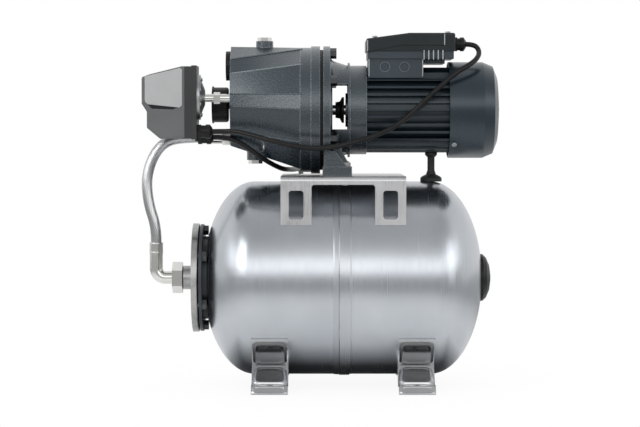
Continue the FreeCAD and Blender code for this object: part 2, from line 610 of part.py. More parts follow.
def make_casing_fittings():
    """Gasket, suction ring, priming and drain plugs, nozzle, venturi and diffuser."""
    at = ("0", "pump_z")
    seat = "-casing_flange_right"
    ring = cylinder("gasket_radius", seat, f"{seat} + gasket_thick", at=at)
    hollow = cylinder("spigot_ring", f"{seat} - 1", f"{seat} + gasket_thick + 1", at=at)
    holes = [cylinder("casing_bolt_radius + 0.2", f"{seat} - 1", f"{seat} + gasket_thick + 1",
                      at=ring_place(turn, "casing_bolt_ring", 0)) for turn in range(6)]
    keep(cut(ring, hollow, *holes), "casing_gasket")
    port = ("0", "pump_z + suction_z")
    collar = cylinder("ring_radius", "-casing_left - 0.2 - ring_thick", "-casing_left - 0.2",
                      at=port)
    mouth = cylinder("suction_bore + 1", "-casing_left - ring_thick - 2", "-casing_left", at=port)
    keep(cut(collar, mouth), "suction_ring")
    top, low = "pump_z + plug_boss_top", "pump_z - drain_boss_low"
    plugs = [
        fuse(cylinder("plug_radius", f"{top} - 12", top, "Z", ("-plug_x", "0")),
             prism("plug_flats", top, f"{top} + plug_head", "Z", ("-plug_x", "0"))),
        fuse(cylinder("plug_radius", low, f"{low} + 12", "Z", ("-drain_x", "0")),
             prism("plug_flats", f"{low} - plug_head", low, "Z", ("-drain_x", "0"))),
    ]
    keep(together(plugs), "casing_plugs")
    axis = ("0", "0", "pump_z")
    nozzle = turned([
        ("-jet_left", "nozzle_mouth + 5"), ("-jet_left", "jet_bore"),
        ("-jet_left + 5", "jet_bore"), ("-jet_left + 6", "nozzle_mouth + 6"),
        ("-jet_left + 18", "nozzle_mouth - 1"), ("-jet_left + 18", "nozzle_mouth - 3"),
        ("-jet_left + 6", "nozzle_mouth + 3.5"),
    ], axis)
    venturi = turned([
        ("-jet_left + 20", "jet_bore - 5"), ("-jet_left + 20", "jet_bore"),
        ("-jet_left + 24", "jet_bore"), ("-jet_left + 24", "venturi_radius - 3"),
        ("-diffuser_left - 3", "venturi_radius"), ("-diffuser_left", "venturi_radius"),
        ("-diffuser_left", "venturi_radius - 2.5"), ("-jet_left + 30", "venturi_throat"),
        ("-jet_left + 24", "venturi_throat"),
    ], axis)
    keep(together([nozzle, venturi]), "ejector")
    keep(coded(diffuser_shape()), "diffuser")


def vane(inner, outer, sweep, thick, start):
    """The face of a curved vane: two arcs a thickness apart that sweep back outwards."""
    def spot(radius, turn):
        return Vector(0, radius * math.sin(turn), radius * math.cos(turn))
    middle = (inner + outer) / 2
    edges = []
    for shift in (0, 1):
        turns = [start + shift * thick / radius for radius in (inner, middle, outer)]
        points = [spot(inner, turns[0]), spot(middle, turns[1] + sweep * 0.4),
                  spot(outer, turns[2] + sweep)]
        edges.append(Part.Arc(*points).toShape())
    for end in (0, 1):
        edges.append(Part.makeLine(edges[0].Vertexes[end].Point, edges[1].Vertexes[end].Point))
    return Part.Face(Part.Wire(Part.__sortEdges__(edges)))


def vanes(count, inner, outer, sweep, thick, left, right):
    """Several curved vanes about the X axis, each a solid between two planes."""
    solids = []
    for index in range(count):
        face = vane(inner, outer, sweep, thick, 2 * math.pi * index / count)
        face.translate(Vector(left, 0, 0))
        solids.append(face.extrude(Vector(right - left, 0, 0)))
    return solids


def disc(radius, left, right, bore=0.0):
    """A round plate about the X axis, with a bore where one is given."""
    plate = Part.makeCylinder(radius, right - left, Vector(left, 0, 0), X_AXIS)
    if bore > 0:
        plate = plate.cut(Part.makeCylinder(bore, right - left + 2, Vector(left - 1, 0, 0), X_AXIS))
    return plate


def at_pump(shape):
    """A shape made about the X axis, lifted to the pump's axis."""
    shape = shape.copy()
    shape.translate(Vector(0, 0, size("pump_z")))
    return shape


def diffuser_shape():
    """The diffuser in front of the impeller: a plate, a hub tube and guide vanes."""
    left, right = -size("diffuser_left"), -size("diffuser_right")
    radius, eye = size("diffuser_radius"), size("impeller_eye")
    plate = disc(radius, right - 3, right, eye + 3)
    tube = disc(eye + 5.5, left, right, eye + 3)
    guides = vanes(8, eye + 8, radius - 3, 0.9, 2.6, left + 14, right - 2.5)
    floor = disc(eye + 5.5, left, left + 2.5, size("venturi_radius"))
    return at_pump(plate.fuse([tube, floor, *guides]).removeSplitter())


def impeller_shape():
    """A closed impeller: hub, back shroud, swept vanes and front shroud with its eye."""
    left, right = -size("impeller_left"), -size("impeller_right")
    radius, eye, hub = size("impeller_radius"), size("impeller_eye"), size("impeller_hub")
    sheet_thick = size("shroud_thick")
    back = disc(radius, right - sheet_thick, right, size("shaft_radius"))
    core = disc(hub, left, right, size("shaft_radius"))
    front = disc(radius, left + 4, left + 4 + sheet_thick, eye)
    lip = disc(eye + sheet_thick, left, left + 5, eye)
    swept = vanes(int(size("vane_count")), hub - 1, radius - 0.3, 1.1, size("vane_thick"),
                  left + 4.5, right - sheet_thick + 0.5)
    return at_pump(back.fuse([core, front, lip, *swept]).removeSplitter())


def make_rotor():
    """Everything that turns: impeller, seal head, slinger, shaft, core and fan."""
    keep(coded(impeller_shape()), "impeller")
    axis = ("0", "0", "pump_z")
    shaft = turned([
        ("-shaft_left", "0"), ("-shaft_left", "shaft_radius - 0.5"),
        ("-shaft_left + 1", "shaft_radius"), ("front_bearing + bearing_wide", "shaft_radius"),
        ("front_bearing + bearing_wide", "shaft_radius + 2"), ("rear_bearing", "shaft_radius + 2"),
        ("rear_bearing", "shaft_radius"), ("shaft_right", "shaft_radius"), ("shaft_right", "0"),
    ], axis)
    keep(shaft, "rotor_shaft")
    at = ("0", "pump_z")
    core = cylinder("core_radius", "core_left", "core_right", at=at)
    keep(cut(core, cylinder("shaft_radius + 2", "core_left - 1", "core_right + 1", at=at)),
         "rotor_core")
    keep(turned([
        ("-impeller_right", "shaft_radius"), ("-impeller_right", "seal_radius"),
        ("-impeller_right + 9", "seal_radius"), ("-impeller_right + 10.5", "seal_radius - 2.5"),
        ("-lantern_inner - seat_out - 0.3", "seal_radius - 2.5"),
        ("-lantern_inner - seat_out - 0.3", "shaft_radius"),
    ], axis), "seal_head")
    keep(turned([
        ("slinger_left", "shaft_radius"), ("slinger_left", "shaft_radius + 4"),
        ("slinger_left + 6", "shaft_radius + 5"), ("slinger_right - 3", "slinger_radius"),
        ("slinger_right", "slinger_radius"), ("slinger_right", "shaft_radius"),
    ], axis), "slinger")
    hub = cylinder("fan_hub", "fan_left", "fan_right", at=at)
    plate = cylinder("fan_radius - 8", "fan_left", "fan_left + 2", at=at)
    blades = []
    count = int(size("blade_count"))
    for turn in range(count):
        blade = box(("fan_left", "-blade_thick / 2", "0"), ("fan_right", "blade_thick / 2",
                                                           "fan_radius"))
        blade.setExpression(".Placement.Base.x", None)
        blade.setExpression(".Placement.Base.y", None)
        blade.setExpression(".Placement.Base.z", None)
        angle = 360 / count * turn
        blade.Placement.Rotation = Rotation(X_AXIS, angle)
        move(blade, ("fan_left", f"-blade_thick / 2 * cos({angle})",
                     f"pump_z - blade_thick / 2 * sin({angle})"))
        blades.append(blade)
    bore = cylinder("shaft_radius", "fan_left - 1", "fan_right + 1", at=at)
    keep(cut(fuse(hub, plate, *blades), bore), "cooling_fan")


def make_bearings():
    """The two ball bearings, the seal's fixed seat, the stator and its windings."""
    at = ("0", "pump_z")
    rings = []
    for place in ("front_bearing", "rear_bearing"):
        ring = cylinder("bearing_radius", place, f"{place} + bearing_wide", at=at)
        bore = cylinder("shaft_radius + running_gap", f"{place} - 1",
                        f"{place} + bearing_wide + 1", at=at)
        rings.append(cut(ring, bore))
    keep(together(rings), "bearings")
    seat = cylinder("seat_radius", "-lantern_inner - seat_out",
                    "-lantern_inner - seat_out + seat_thick", at=at)
    keep(cut(seat, cylinder("shaft_radius + 0.5", "-50", "0", at=at)), "seal_seat")
    stator = cylinder("stator_radius", "core_left", "core_right", at=at)
    bore = cylinder("stator_bore", "core_left - 1", "core_right + 1", at=at)
    slots = []
    count = int(size("slot_count"))
    for turn in range(count):
        slots.append(cylinder("2.2", "core_left - 1", "core_right + 1",
                              at=ring_place(turn, "(stator_bore + 7)", 0, count)))
    keep(cut(stator, bore, together(slots)), "stator_core")
    coils = []
    for low, high in (("core_left - winding_reach", "core_left"),
                      ("core_right", "core_right + winding_reach")):
        ring = cylinder("stator_radius - 3.5", low, high, at=at)
        coils.append(cut(ring, cylinder("stator_bore + 2", f"{low} - 1", f"{high} + 1", at=at)))
    keep(together(coils), "windings")


def make_lantern():
    """The casting between pump and motor: flange, open tube, motor shield and foot."""
    at = ("0", "pump_z")
    left = "-lantern_inner - lantern_flange"
    flange = cylinder("lantern_radius", left, "-lantern_inner", at=at)
    tube = cut(cylinder("lantern_tube", "-lantern_inner - 1", "shield_left + 1", at=at),
               cylinder("lantern_tube - lantern_wall", "-lantern_inner", "shield_left", at=at))
    wide = "lantern_radius"
    side = box(("-lantern_inner + 3", f"-{wide}", "pump_z + side_low"),
               ("shield_left - 2", wide, "pump_z + side_high"))
    upper = box(("-lantern_inner + 3", "-34", "pump_z + 30"),
                ("shield_left - 2", "34", f"pump_z + {wide}"))
    lower = box(("-lantern_inner + 3", "-30", f"pump_z - {wide}"),
                ("shield_left - 2", "30", "pump_z - 40"))
    arms = cut(tube, side, upper, lower)
    shield = cylinder("shield_radius", "shield_left", "shield_right", at=at)
    cup = cylinder("shield_radius - shield_wall", "shield_left + 18", "shield_right + 1", at=at)
    hub = cylinder("bearing_radius + 6", "shield_left - 5", "shield_left + 1", at=at)
    foot = new_body(("0", "0", "pump_z"))
    sole = [("-sole_half_y", "-sole_drop"), ("sole_half_y", "-sole_drop"),
            ("sole_half_y", "-sole_drop + sole_thick"),
            ("sole_half_y - 26", "-sole_drop + sole_thick"), ("46", "-46"), ("-46", "-46"),
            ("-sole_half_y + 26", "-sole_drop + sole_thick"),
            ("-sole_half_y", "-sole_drop + sole_thick")]
    web = cut(foot, box(("sole_left - 1", "-40", "pump_z - sole_drop - 1"),
                        ("sole_right + 1", "40", "pump_z - sole_drop + 26")))
    padded(foot, "YZ_Plane", sole, "2 * web_half", offset="-web_half - 7")
    plates = [box(("sole_left", low, "pump_z - sole_drop"),
                  ("sole_right", high, "pump_z - sole_drop + sole_thick"))
              for low, high in (("-sole_half_y", "-sole_half_y + 30"),
                                ("sole_half_y - 30", "sole_half_y"))]
    gussets = []
    for way in ("-", ""):
        gusset = new_body(("0", f"{way}56", "pump_z"))
        padded(gusset, "XZ_Plane", [
            ("-14", "-44"), ("-9", "-44"), ("sole_right - 1", "-sole_drop + sole_thick - 1"),
            ("-14", "-sole_drop + sole_thick - 1"),
        ], "6", middle=True)
        gussets.append(gusset)
    whole = fuse(flange, arms, shield, hub, web, *plates, *gussets)
    tools = [
        cylinder("seat_radius", f"{left} - 1", "-lantern_inner - seat_out + seat_thick", at=at),
        cylinder("shaft_radius + 1.5", f"{left}", "shield_left + 40", at=at),
        cylinder("bearing_radius", "front_bearing", "shield_left + 40", at=at),
        cup,
    ]
    tools += [cylinder("rod_radius", "shield_left + 12", "shield_right + 1",
                       at=ring_place(turn, "rod_ring", 45, 4)) for turn in range(4)]
    tools += [cylinder("casing_bolt_radius + 0.2", f"{left} - 1", "-lantern_inner + 1",
                       at=ring_place(turn, "casing_bolt_ring", 0)) for turn in range(6)]
    tools += [cylinder("foot_bolt_radius + 0.5", "bracket_top - 1", "bracket_top + 20", "Z",
                       ("foot_bolt_x", f"{way}foot_bolt_y")) for way in ("-", "")]
    keep(cut(whole, *tools), "lantern")


def make_joining_bolts():
    """The bolts that join casing and lantern, and those that hold the pump's foot."""
    bolts = []
    for turn in range(6):
        at = ring_place(turn, "casing_bolt_ring", 0)
        head = prism("casing_bolt_flats", "-lantern_inner", "-lantern_inner + casing_bolt_head",
                     at=at)
        stem = cylinder("casing_bolt_radius", "-casing_flange_left + 0.2",
                        "-lantern_inner + 1", at=at)
        bolts.append(fuse(head, stem))
    keep(together(bolts), "casing_bolts")
    pairs = []
    seat = "bracket_top + sole_thick"
    under = "bracket_top - bracket_sheet"
    for way in ("-", ""):
        at = ("foot_bolt_x", f"{way}foot_bolt_y")
        head = prism("foot_bolt_flats", seat, f"{seat} + foot_bolt_head", "Z", at)
        stem = cylinder("foot_bolt_radius", f"{under} - 10", f"{seat} + 1", "Z", at)
        nut = prism("foot_bolt_flats", f"{under} - 6.5", under, "Z", at)
        pairs.append(fuse(head, stem))
        pairs.append(cut(nut, cylinder("foot_bolt_radius", f"{under} - 8", f"{under} + 1", "Z",
                                       at)))
    keep(together(pairs), "foot_bolts")


def make_motor():
    """The finned frame, rear shield, tie rods, fan cover and the small screws."""
    at = ("0", "pump_z")
    left, right = "shield_right", "frame_right"
    core = cylinder("frame_body", left, right, at=at)
    fins = []
    for step in range(-4, 5):
        level = f"pump_z + {step} * fin_pitch - fin_thick / 2"
        fins.append(box((left, "-fin_tip", level), (right, "fin_tip", f"{level} + fin_thick")))
    for step in range(-3, 4):
        across = f"{step} * fin_pitch - fin_thick / 2"
        fins.append(box((left, across, "pump_z - fin_tip"),
                        (right, f"{across} + fin_thick", "pump_z - 30")))
    fins.append(box((left, "-30", "pump_z + 30"), (right, "30", "pump_z + fin_tip")))
    round_over = cylinder("fin_tip", left, right, at=at)
    frame = common(fuse(core, *fins), round_over)
    inside = cylinder("stator_radius", f"{left} - 1", f"{right} + 1", at=at)
    rods = [cylinder("rod_radius + 0.3", f"{left} - 1", f"{right} + 1",
                     at=ring_place(turn, "rod_ring", 45, 4)) for turn in range(4)]
    keep(cut(frame, inside, *rods), "motor_frame")
    rim = cylinder("fin_tip", right, f"{right} + rear_wall", at=at)
    lugs = []
    for angle in (45, 135):
        reach = "cover_radius"
        lug = box((right, f"-{reach}", "-6"), (f"{right} + rear_wall", reach, "6"))
        lug.Placement.Rotation = Rotation(X_AXIS, angle)
        move(lug, (right, f"-{reach} * cos({angle}) + 6 * sin({angle})",
                   f"pump_z - {reach} * sin({angle}) - 6 * cos({angle})"))
        lugs.append(lug)
    wall = common(fuse(rim, *lugs),
                  cylinder("cover_radius - cover_wall", f"{right} - 1", f"{right} + 20", at=at))
    hub = cylinder("bearing_radius + 5", "rear_bearing", f"{right} + rear_wall", at=at)
    spigot = cut(cylinder("stator_radius - 0.02", f"{right} - 6", f"{right} + 1", at=at),
                 cylinder("stator_radius - 4", f"{right} - 7", right, at=at))
    seat = cylinder("bearing_radius", "rear_bearing - 1", "rear_bearing + bearing_wide", at=at)
    eye = cylinder("shaft_radius + 1", "rear_bearing - 1", f"{right} + 20", at=at)
    rod_holes = [cylinder("rod_radius + 0.3", f"{right} - 1", f"{right} + 20",
                          at=ring_place(turn, "rod_ring", 45, 4)) for turn in range(4)]
    keep(cut(fuse(wall, hub, spigot), seat, eye, *rod_holes), "rear_shield")
    tie = []
    for turn in range(4):
        place = ring_place(turn, "rod_ring", 45, 4)
        end = f"{right} + rear_wall"
        tie.append(fuse(cylinder("rod_radius", "shield_left + 12", f"{end} + 1", at=place),
                        cylinder("rod_radius + 2", end, f"{end} + 3", at=place)))
    keep(together(tie), "tie_rods")
    make_fan_cover()


def make_fan_cover():
    """The cover over the fan: a cup with a rounded rim and a ring of slots in its end."""
    end, wall = "cover_right", "cover_wall"
    bend = "cover_round * (1 - cos(45))"
    cup = turned([
        ("cover_left", f"cover_radius - {wall}"), ("cover_left", "cover_radius"),
        (f"{end} - cover_round - 3", "cover_radius"), (f"{end} - 3 - {bend}", f"cover_radius - {bend}"),
        (f"{end} - 3", "cover_radius - cover_round"), (end, "fan_hub"), (end, "0"),
        (f"{end} - {wall}", "0"), (f"{end} - {wall}", "fan_hub"),
        (f"{end} - 3 - {wall}", f"cover_radius - cover_round - {wall} / 2"),
        (f"{end} - 3 - {bend} - {wall}", f"cover_radius - {bend} - {wall}"),
        (f"{end} - cover_round - 3 - {wall} / 2", f"cover_radius - {wall}"),
    ], ("0", "0", "pump_z"))
    sketch = outline(cup, "YZ_Plane", rectangle("-slot_wide / 2", "slot_ring - slot_long / 2",
                                                "slot_wide / 2", "slot_ring + slot_long / 2"),
                     f"{end} + 2")
    slot = cup.newObject("PartDesign::Pocket", "Slot")
    slot.Profile = sketch
    slot.setExpression("Length", bound(f"8 + {wall}"))
    doc.recompute()
    ring = cup.newObject("PartDesign::PolarPattern", "Slots")
    ring.Originals = [slot]
    ring.Axis = (origin_part(cup, "X_Axis"), [""])
    ring.Angle = 360
    ring.Occurrences = int(size("grille_slots"))
    cup.Tip = ring
    doc.recompute()
    screws, lugs = [], []
    for turn in range(4):
        angle = 45 + 90 * turn
        low, high = size("fin_tip") - 5, size("cover_radius")
        way = Vector(0, math.sin(math.radians(angle)), math.cos(math.radians(angle)))
        base = Vector(size("frame_right") + size("rear_wall") / 2, 0, size("pump_z"))
        stem = Part.makeCylinder(1.9, high - low, base + way * low, way)
        head = Part.makeCylinder(3.6, 1.8, base + way * high, way)
        screws.append(stem.fuse(head))
        lugs.append(Part.makeCylinder(2.1, 20, base + way * (low - 0.2), way))
    holes = coded(Part.makeCompound(lugs))
    drilled = cut(cup, holes)
    keep(drilled, "fan_cover")
    shield = cut(NODES["rear_shield"], holes)
    NODES["rear_shield"].Label = "shield_blank"
    keep(shield, "rear_shield")
    for across in ("-1", "1"):
        for along in ("lid_left + 12", "lid_right - 10"):
            x, y = number(along), number(f"{across} * (lid_half_y - 7)")
            top = lid_height(x + 3.6)
            stem = Part.makeCylinder(1.9, 10, Vector(x, y, top - 8), Z_AXIS)
            head = Part.makeCylinder(3.6, 1.8, Vector(x, y, top), Z_AXIS)
            screws.append(stem.fuse(head))
    keep(coded(Part.makeCompound(screws)), "small_screws")


def lid_height(x):
    """The height of the lid's outer face over a point of the motor's axis."""
    knee, left = size("lid_knee"), size("lid_left")
    rise = size("lid_top") - size("lid_edge")
    return size("lid_top") - max(0.0, (knee - x) / (knee - left)) * rise


def make_terminal_box():
    """The box and lid on the motor, with a ribbed vent, a capacitor inside and knockouts."""
    base = box(("box_left", "-box_half_y", "box_low"), ("box_right", "box_half_y", "tray_low + 1"))
    tray = box(("lid_left + 2", "-lid_half_y + 2", "tray_low"),
               ("lid_right - 2", "lid_half_y - 2", "lid_low"))
    vent = [box(("box_right - 1", "-box_half_y + 8", "vent_low"),
                ("vent_right", "box_half_y - 8", "tray_low + 1"))]
    for rib in range(7):
        left = f"box_right + 2 + {rib} * vent_pitch"
        vent.append(box((left, "-box_half_y + 5", "vent_low"),
                        (f"{left} + vent_pitch / 2", "box_half_y - 5", "tray_low + 1")))
    hollow = [
        box(("box_left + box_wall", "-box_half_y + box_wall", "pump_z + fin_tip + box_wall"),
            ("box_right - box_wall", "box_half_y - box_wall", "lid_low + 1")),
        box(("lid_left + 2 + box_wall", "-lid_half_y + 2 + box_wall", "tray_low + box_wall"),
            ("lid_right - 2 - box_wall", "lid_half_y - 2 - box_wall", "lid_low + 1")),
    ]
    seat = cylinder("fin_tip", "0", "lid_right", at=("0", "pump_z"))
    rings = [cylinder("knockout_radius", "-box_half_y - 1", "-box_half_y + 1", "Y",
                      (x, "box_low + 15")) for x in ("box_left + 23", "box_left + 50")]
    keep(cut(fuse(base, tray, *vent), seat, *hollow, *rings), "terminal_box")
    body = new_body()
    pad = padded(body, "XZ_Plane", [
        ("lid_left", "lid_low"), ("lid_right", "lid_low"), ("lid_right", "lid_top"),
        ("lid_knee", "lid_top"), ("lid_left", "lid_edge"),
    ], "2 * lid_half_y", middle=True)
    edges = [f"Edge{index}" for index, edge in enumerate(pad.Shape.Edges, start=1)
             if edge.CenterOfMass.z > size("lid_low") + 1]
    fillet = body.newObject("PartDesign::Fillet", "Soft")
    fillet.Base = (pad, edges)
    fillet.setExpression("Radius", bound("soft_edge"))
    doc.recompute()
    sketch = outline(body, "XZ_Plane", [
        ("lid_left + box_wall", "lid_low - 1"), ("lid_right - box_wall", "lid_low - 1"),
        ("lid_right - box_wall", "lid_top - box_wall"), ("lid_knee", "lid_top - box_wall"),
        ("lid_left + box_wall", "lid_edge - box_wall"),
    ])
    pocket = body.newObject("PartDesign::Pocket", "Hollow")
    pocket.Profile = sketch
    pocket.setExpression("Length", bound("2 * lid_half_y - 2 * box_wall"))
    pocket.Midplane = True
    doc.recompute()
    screws = [cylinder("lid_screw_hole", "lid_low", "lid_top + 5", "Z",
                       (along, f"{way}(lid_half_y - 7)"))
              for along in ("lid_left + 12", "lid_right - 10") for way in ("-1 * ", "")]
    port = cylinder("gland_tail", "lid_right - 5", "lid_right + 2", at=("box_gland_y", "box_gland_z"))
    keep(cut(body, port, *screws), "terminal_lid")
    can = cylinder("capacitor_radius", "box_left + 8", "box_left + 8 + capacitor_long",
                   at=("12", "pump_z + fin_tip + box_wall + capacitor_radius"))
    keep(can, "capacitor")


def gland_shapes(start, y, z, body_long, nut_long):
    """A cable gland along X: a hexagon body with a threaded tail, and its domed nut."""
    bore, radius = size("lead_radius"), size("gland_radius")
    place = Vector(start, y, z)
    flats = size("gland_flats")
    corners = [Vector(0, flats / math.sqrt(3) * math.cos(turn), flats / math.sqrt(3) * math.sin(turn))
               for turn in (math.pi / 3 * step for step in range(7))]
    hexagon = Part.Face(Part.makePolygon(corners)).extrude(Vector(body_long * 0.45, 0, 0))
    sleeve = Part.makeCylinder(radius, body_long, Vector(), X_AXIS)
    tail = Part.makeCylinder(size("gland_tail"), 4, Vector(-4, 0, 0), X_AXIS)
    hole = Part.makeCylinder(bore, 60, Vector(-20, 0, 0), X_AXIS)
    body = hexagon.fuse([sleeve, tail]).cut(hole)
    nut = Part.makeCylinder(radius + 1.2, nut_long * 0.6, Vector(body_long, 0, 0), X_AXIS)
    dome = Part.makeCone(radius + 1.2, bore + 1.5, nut_long * 0.4,
                         Vector(body_long + nut_long * 0.6, 0, 0), X_AXIS)
    nut = nut.fuse(dome).cut(hole)
    shapes = [body, nut]
    for shape in shapes:
        shape.translate(place)
    return shapes


def make_glands():
    """The three cable glands: one on the lid and two on the switch base."""
    shapes = gland_shapes(size("lid_right"), size("box_gland_y"), size("box_gland_z"), 8, 8)
    for side in ("near", "far"):
        shapes += gland_shapes(-size("base_right"), size(f"{side}_gland_y"),
                               size(f"{side}_gland_z"), size("gland_body"), size("gland_nut"))
    keep(coded(Part.makeCompound(shapes)), "cable_glands")


def make_switch():
    """The pressure switch: cover, base, diaphragm housing, plunger, lever and spring."""
    body = new_body(("0", "switch_y", "0"))
    pad = padded(body, "XZ_Plane", [
        ("-switch_left", "switch_z + 27"), ("-switch_left", "switch_z - 9"),
        ("-switch_left + 7", "switch_z - 20"), ("-switch_left + 7", "switch_z - 42"),
        ("-switch_left + 25", "base_low + 1"), ("-switch_right", "base_low + 1"),
        ("-switch_right", "base_high - 1"), ("-switch_left + 55", "base_high - 1"),
        ("-switch_left + 11", "switch_z + 31"),
    ], "2 * switch_half", middle=True)
    edges = [f"Edge{index}" for index, edge in enumerate(pad.Shape.Edges, start=1)
             if edge.CenterOfMass.x < -size("switch_right") - 0.1]
    fillet = body.newObject("PartDesign::Fillet", "Soft")
    fillet.Base = (pad, edges)
    fillet.setExpression("Radius", bound("soft_edge"))
    doc.recompute()
    skin = "cover_skin"
    sketch = outline(body, "XZ_Plane", [
        (f"-switch_left + {skin} + 3", f"switch_z + 27 - {skin}"),
        (f"-switch_left + {skin} + 3", "switch_z - 8"),
        (f"-switch_left + 9 + {skin}", "switch_z - 20"),
        (f"-switch_left + 9 + {skin}", f"switch_z - 40 + {skin}"),
        (f"-switch_left + 27 + {skin}", f"base_low + 1 + {skin}"),
        ("-switch_right + 1", f"base_low + 1 + {skin}"),
        ("-switch_right + 1", f"base_high - 1 - {skin}"),
        ("-switch_left + 56", f"base_high - 1 - {skin}"),
    ])
    pocket = body.newObject("PartDesign::Pocket", "Hollow")
    pocket.Profile = sketch
    pocket.setExpression("Length", bound(f"2 * switch_half - 2 * {skin}"))
    pocket.Midplane = True
    doc.recompute()
    keep(body, "switch_cover")
    plate = box(("-switch_right", "switch_y - switch_half - 1", "base_low"),
                ("-base_right", "switch_y + switch_half + 1", "base_high"))
    at = ("switch_y", "switch_z")
    tools = [cylinder("plunger_radius + 0.3", "-switch_right - 1", "-base_right + 1", at=at)]
    tools += [cylinder("gland_tail", "-switch_right - 1", "-base_right + 1",
                       at=(f"{side}_gland_y", f"{side}_gland_z")) for side in ("near", "far")]
    ear_height = ("lever_pivot_z - 6", "lever_pivot_z + 4")
    ears = [box(("-plunger_left - 8", low, ear_height[0]), ("-switch_right + 1", high,
                                                           ear_height[1]))
            for low, high in (("switch_y - lever_half - 3.3", "switch_y - lever_half - 0.3"),
                              ("switch_y + lever_half + 0.3", "switch_y + lever_half + 3.3"))]
    pin = cylinder("1.5", "switch_y - lever_half - 2", "switch_y + lever_half + 2", "Y",
                   ("-plunger_left - 3", "lever_pivot_z"))
    stud = cylinder("2.5", "-spring_left - 6", "-switch_right + 1", at=("switch_y", "spring_z"))
    nut = prism("adjuster_flats", "-spring_left - 4", "-spring_left - 0.3", at=("switch_y", "spring_z"))
    keep(cut(fuse(plate, *ears, pin, stud, nut), *tools), "switch_base")
    housing = turned([
        ("-base_right", "0"), ("-base_right", "diaphragm_radius"),
        ("-base_right + 4", "diaphragm_radius"), ("-base_right + 5.5", "diaphragm_radius - 9"),
        ("-diaphragm_right", "nipple_radius + 5"), ("-diaphragm_right", "nipple_radius"),
        ("-base_right + 4", "nipple_radius"), ("-base_right + 4", "0"),
    ], ("0", "switch_y", "switch_z"))
    well = cylinder("plunger_radius + 0.3", "-base_right - 1", "-base_right + 2", at=at)
    keep(cut(housing, well), "diaphragm_housing")
    plunger = cylinder("plunger_radius", "-plunger_left", "-base_right + 1.8", at=at)
    keep(plunger, "switch_plunger")
    lever = box(("-plunger_left - lever_sheet - 0.3", "switch_y - lever_half", "lever_pivot_z + 4"),
                ("-plunger_left - 0.3", "switch_y + lever_half", "lever_top"))
    knuckle = cylinder("3.2", "switch_y - lever_half", "switch_y + lever_half", "Y",
                       ("-plunger_left - 3", "lever_pivot_z"))
    web = box(("-plunger_left - 4", "switch_y - lever_half", "lever_pivot_z + 1"),
              ("-plunger_left - 0.3", "switch_y + lever_half", "lever_pivot_z + 6"))
    eye = cylinder("1.55", "switch_y - 20", "switch_y + 20", "Y",
                   ("-plunger_left - 3", "lever_pivot_z"))
    gap = cylinder("5", "-plunger_left - 10", "-plunger_left + 5", at=("switch_y", "spring_z"))
    keep(cut(fuse(lever, knuckle, web), eye, gap), "contact_lever")
    keep(coded(spring_shape()), "range_spring")
    block = box(("-plunger_left - 16", "switch_y - 26", "base_low + 4"),
                ("-switch_right", "switch_y + 26", "base_low + 18"))
    slots = [box(("-plunger_left - 17", f"switch_y + {8 * step} - 0.8", "base_low + 9"),
                 ("-plunger_left - 4", f"switch_y + {8 * step} + 0.8", "base_low + 19"))
             for step in range(-3, 4, 2)]
    wires = [cylinder("gland_tail", "-plunger_left + 2", "-switch_right + 1",
                      at=(f"{side}_gland_y", f"{side}_gland_z")) for side in ("near", "far")]
    keep(cut(block, *slots, *wires), "contact_block")


def spring_shape():
    """The range spring: a wire wound round the stud, with its ends cut off square."""
    left, right = -size("spring_left"), -size("spring_right")
    radius, wire = size("spring_radius"), size("spring_wire") / 2
    pitch = (right - left - 2 * wire) / size("spring_turns")
    helix = Part.makeHelix(pitch, pitch * size("spring_turns"), radius - wire)
    start = Part.Wire(Part.Circle(Vector(radius - wire, 0, 0), Y_AXIS, wire).toShape())
    coil = Part.Wire(helix).makePipeShell([start], True, True)
    coil.rotate(Vector(), Y_AXIS, 90)
    coil.translate(Vector(left + wire, size("switch_y"), size("spring_z")))
    return coil


def make_front_fittings():
    """The nipple that carries the switch, and the pressure gauge behind it."""
    at = ("switch_y", "switch_z - 1")
    tube = cylinder("nipple_radius", "-diaphragm_right", "-casing_left + stem_deep", at=at)
    grip = prism("nipple_flats", "-diaphragm_right + 12", "-diaphragm_right + 21", at=at)
    bore = cylinder("nipple_bore", "-base_right", "-casing_left + stem_deep + 1", at=at)
    keep(cut(fuse(tube, grip), bore), "nipple")
    place = ("gauge_y", "gauge_z")
    case = turned([
        ("-casing_left + stem_deep", "0"), ("-casing_left + stem_deep", "gauge_stem"),
        ("-gauge_right", "gauge_stem"), ("-gauge_right", "gauge_radius - 2"),
        ("-gauge_right - 2", "gauge_radius"), ("-gauge_left + 2.4", "gauge_radius"),
        ("-gauge_left + 2.4", "gauge_radius + bezel_rise"),
        ("-gauge_left", "gauge_radius + bezel_rise"), ("-gauge_left", "gauge_radius - gauge_wall"),
        ("-gauge_left + 6", "gauge_radius - gauge_wall"), ("-gauge_left + 6", "1"),
        ("-gauge_left + 3", "1"), ("-gauge_left + 3", "0"),
    ], ("0", *place))
    keep(case, "gauge_case")
    lens = cylinder("gauge_radius - gauge_wall", "-gauge_left + 0.6", "-gauge_left + 2", at=place)
    keep(lens, "gauge_lens")
    hub = cylinder("2.6", "-gauge_left + 3.4", "-gauge_left + 5.6", at=place)
    hand = box(("-gauge_left + 4", "gauge_y - 0.8", "gauge_z - 5"),
               ("-gauge_left + 5", "gauge_y + 0.8", "gauge_z + needle_long"))
    eye = cylinder("1.05", "-gauge_left + 2", "-gauge_left + 7", at=place)
    keep(cut(fuse(hub, hand), eye), "gauge_needle")


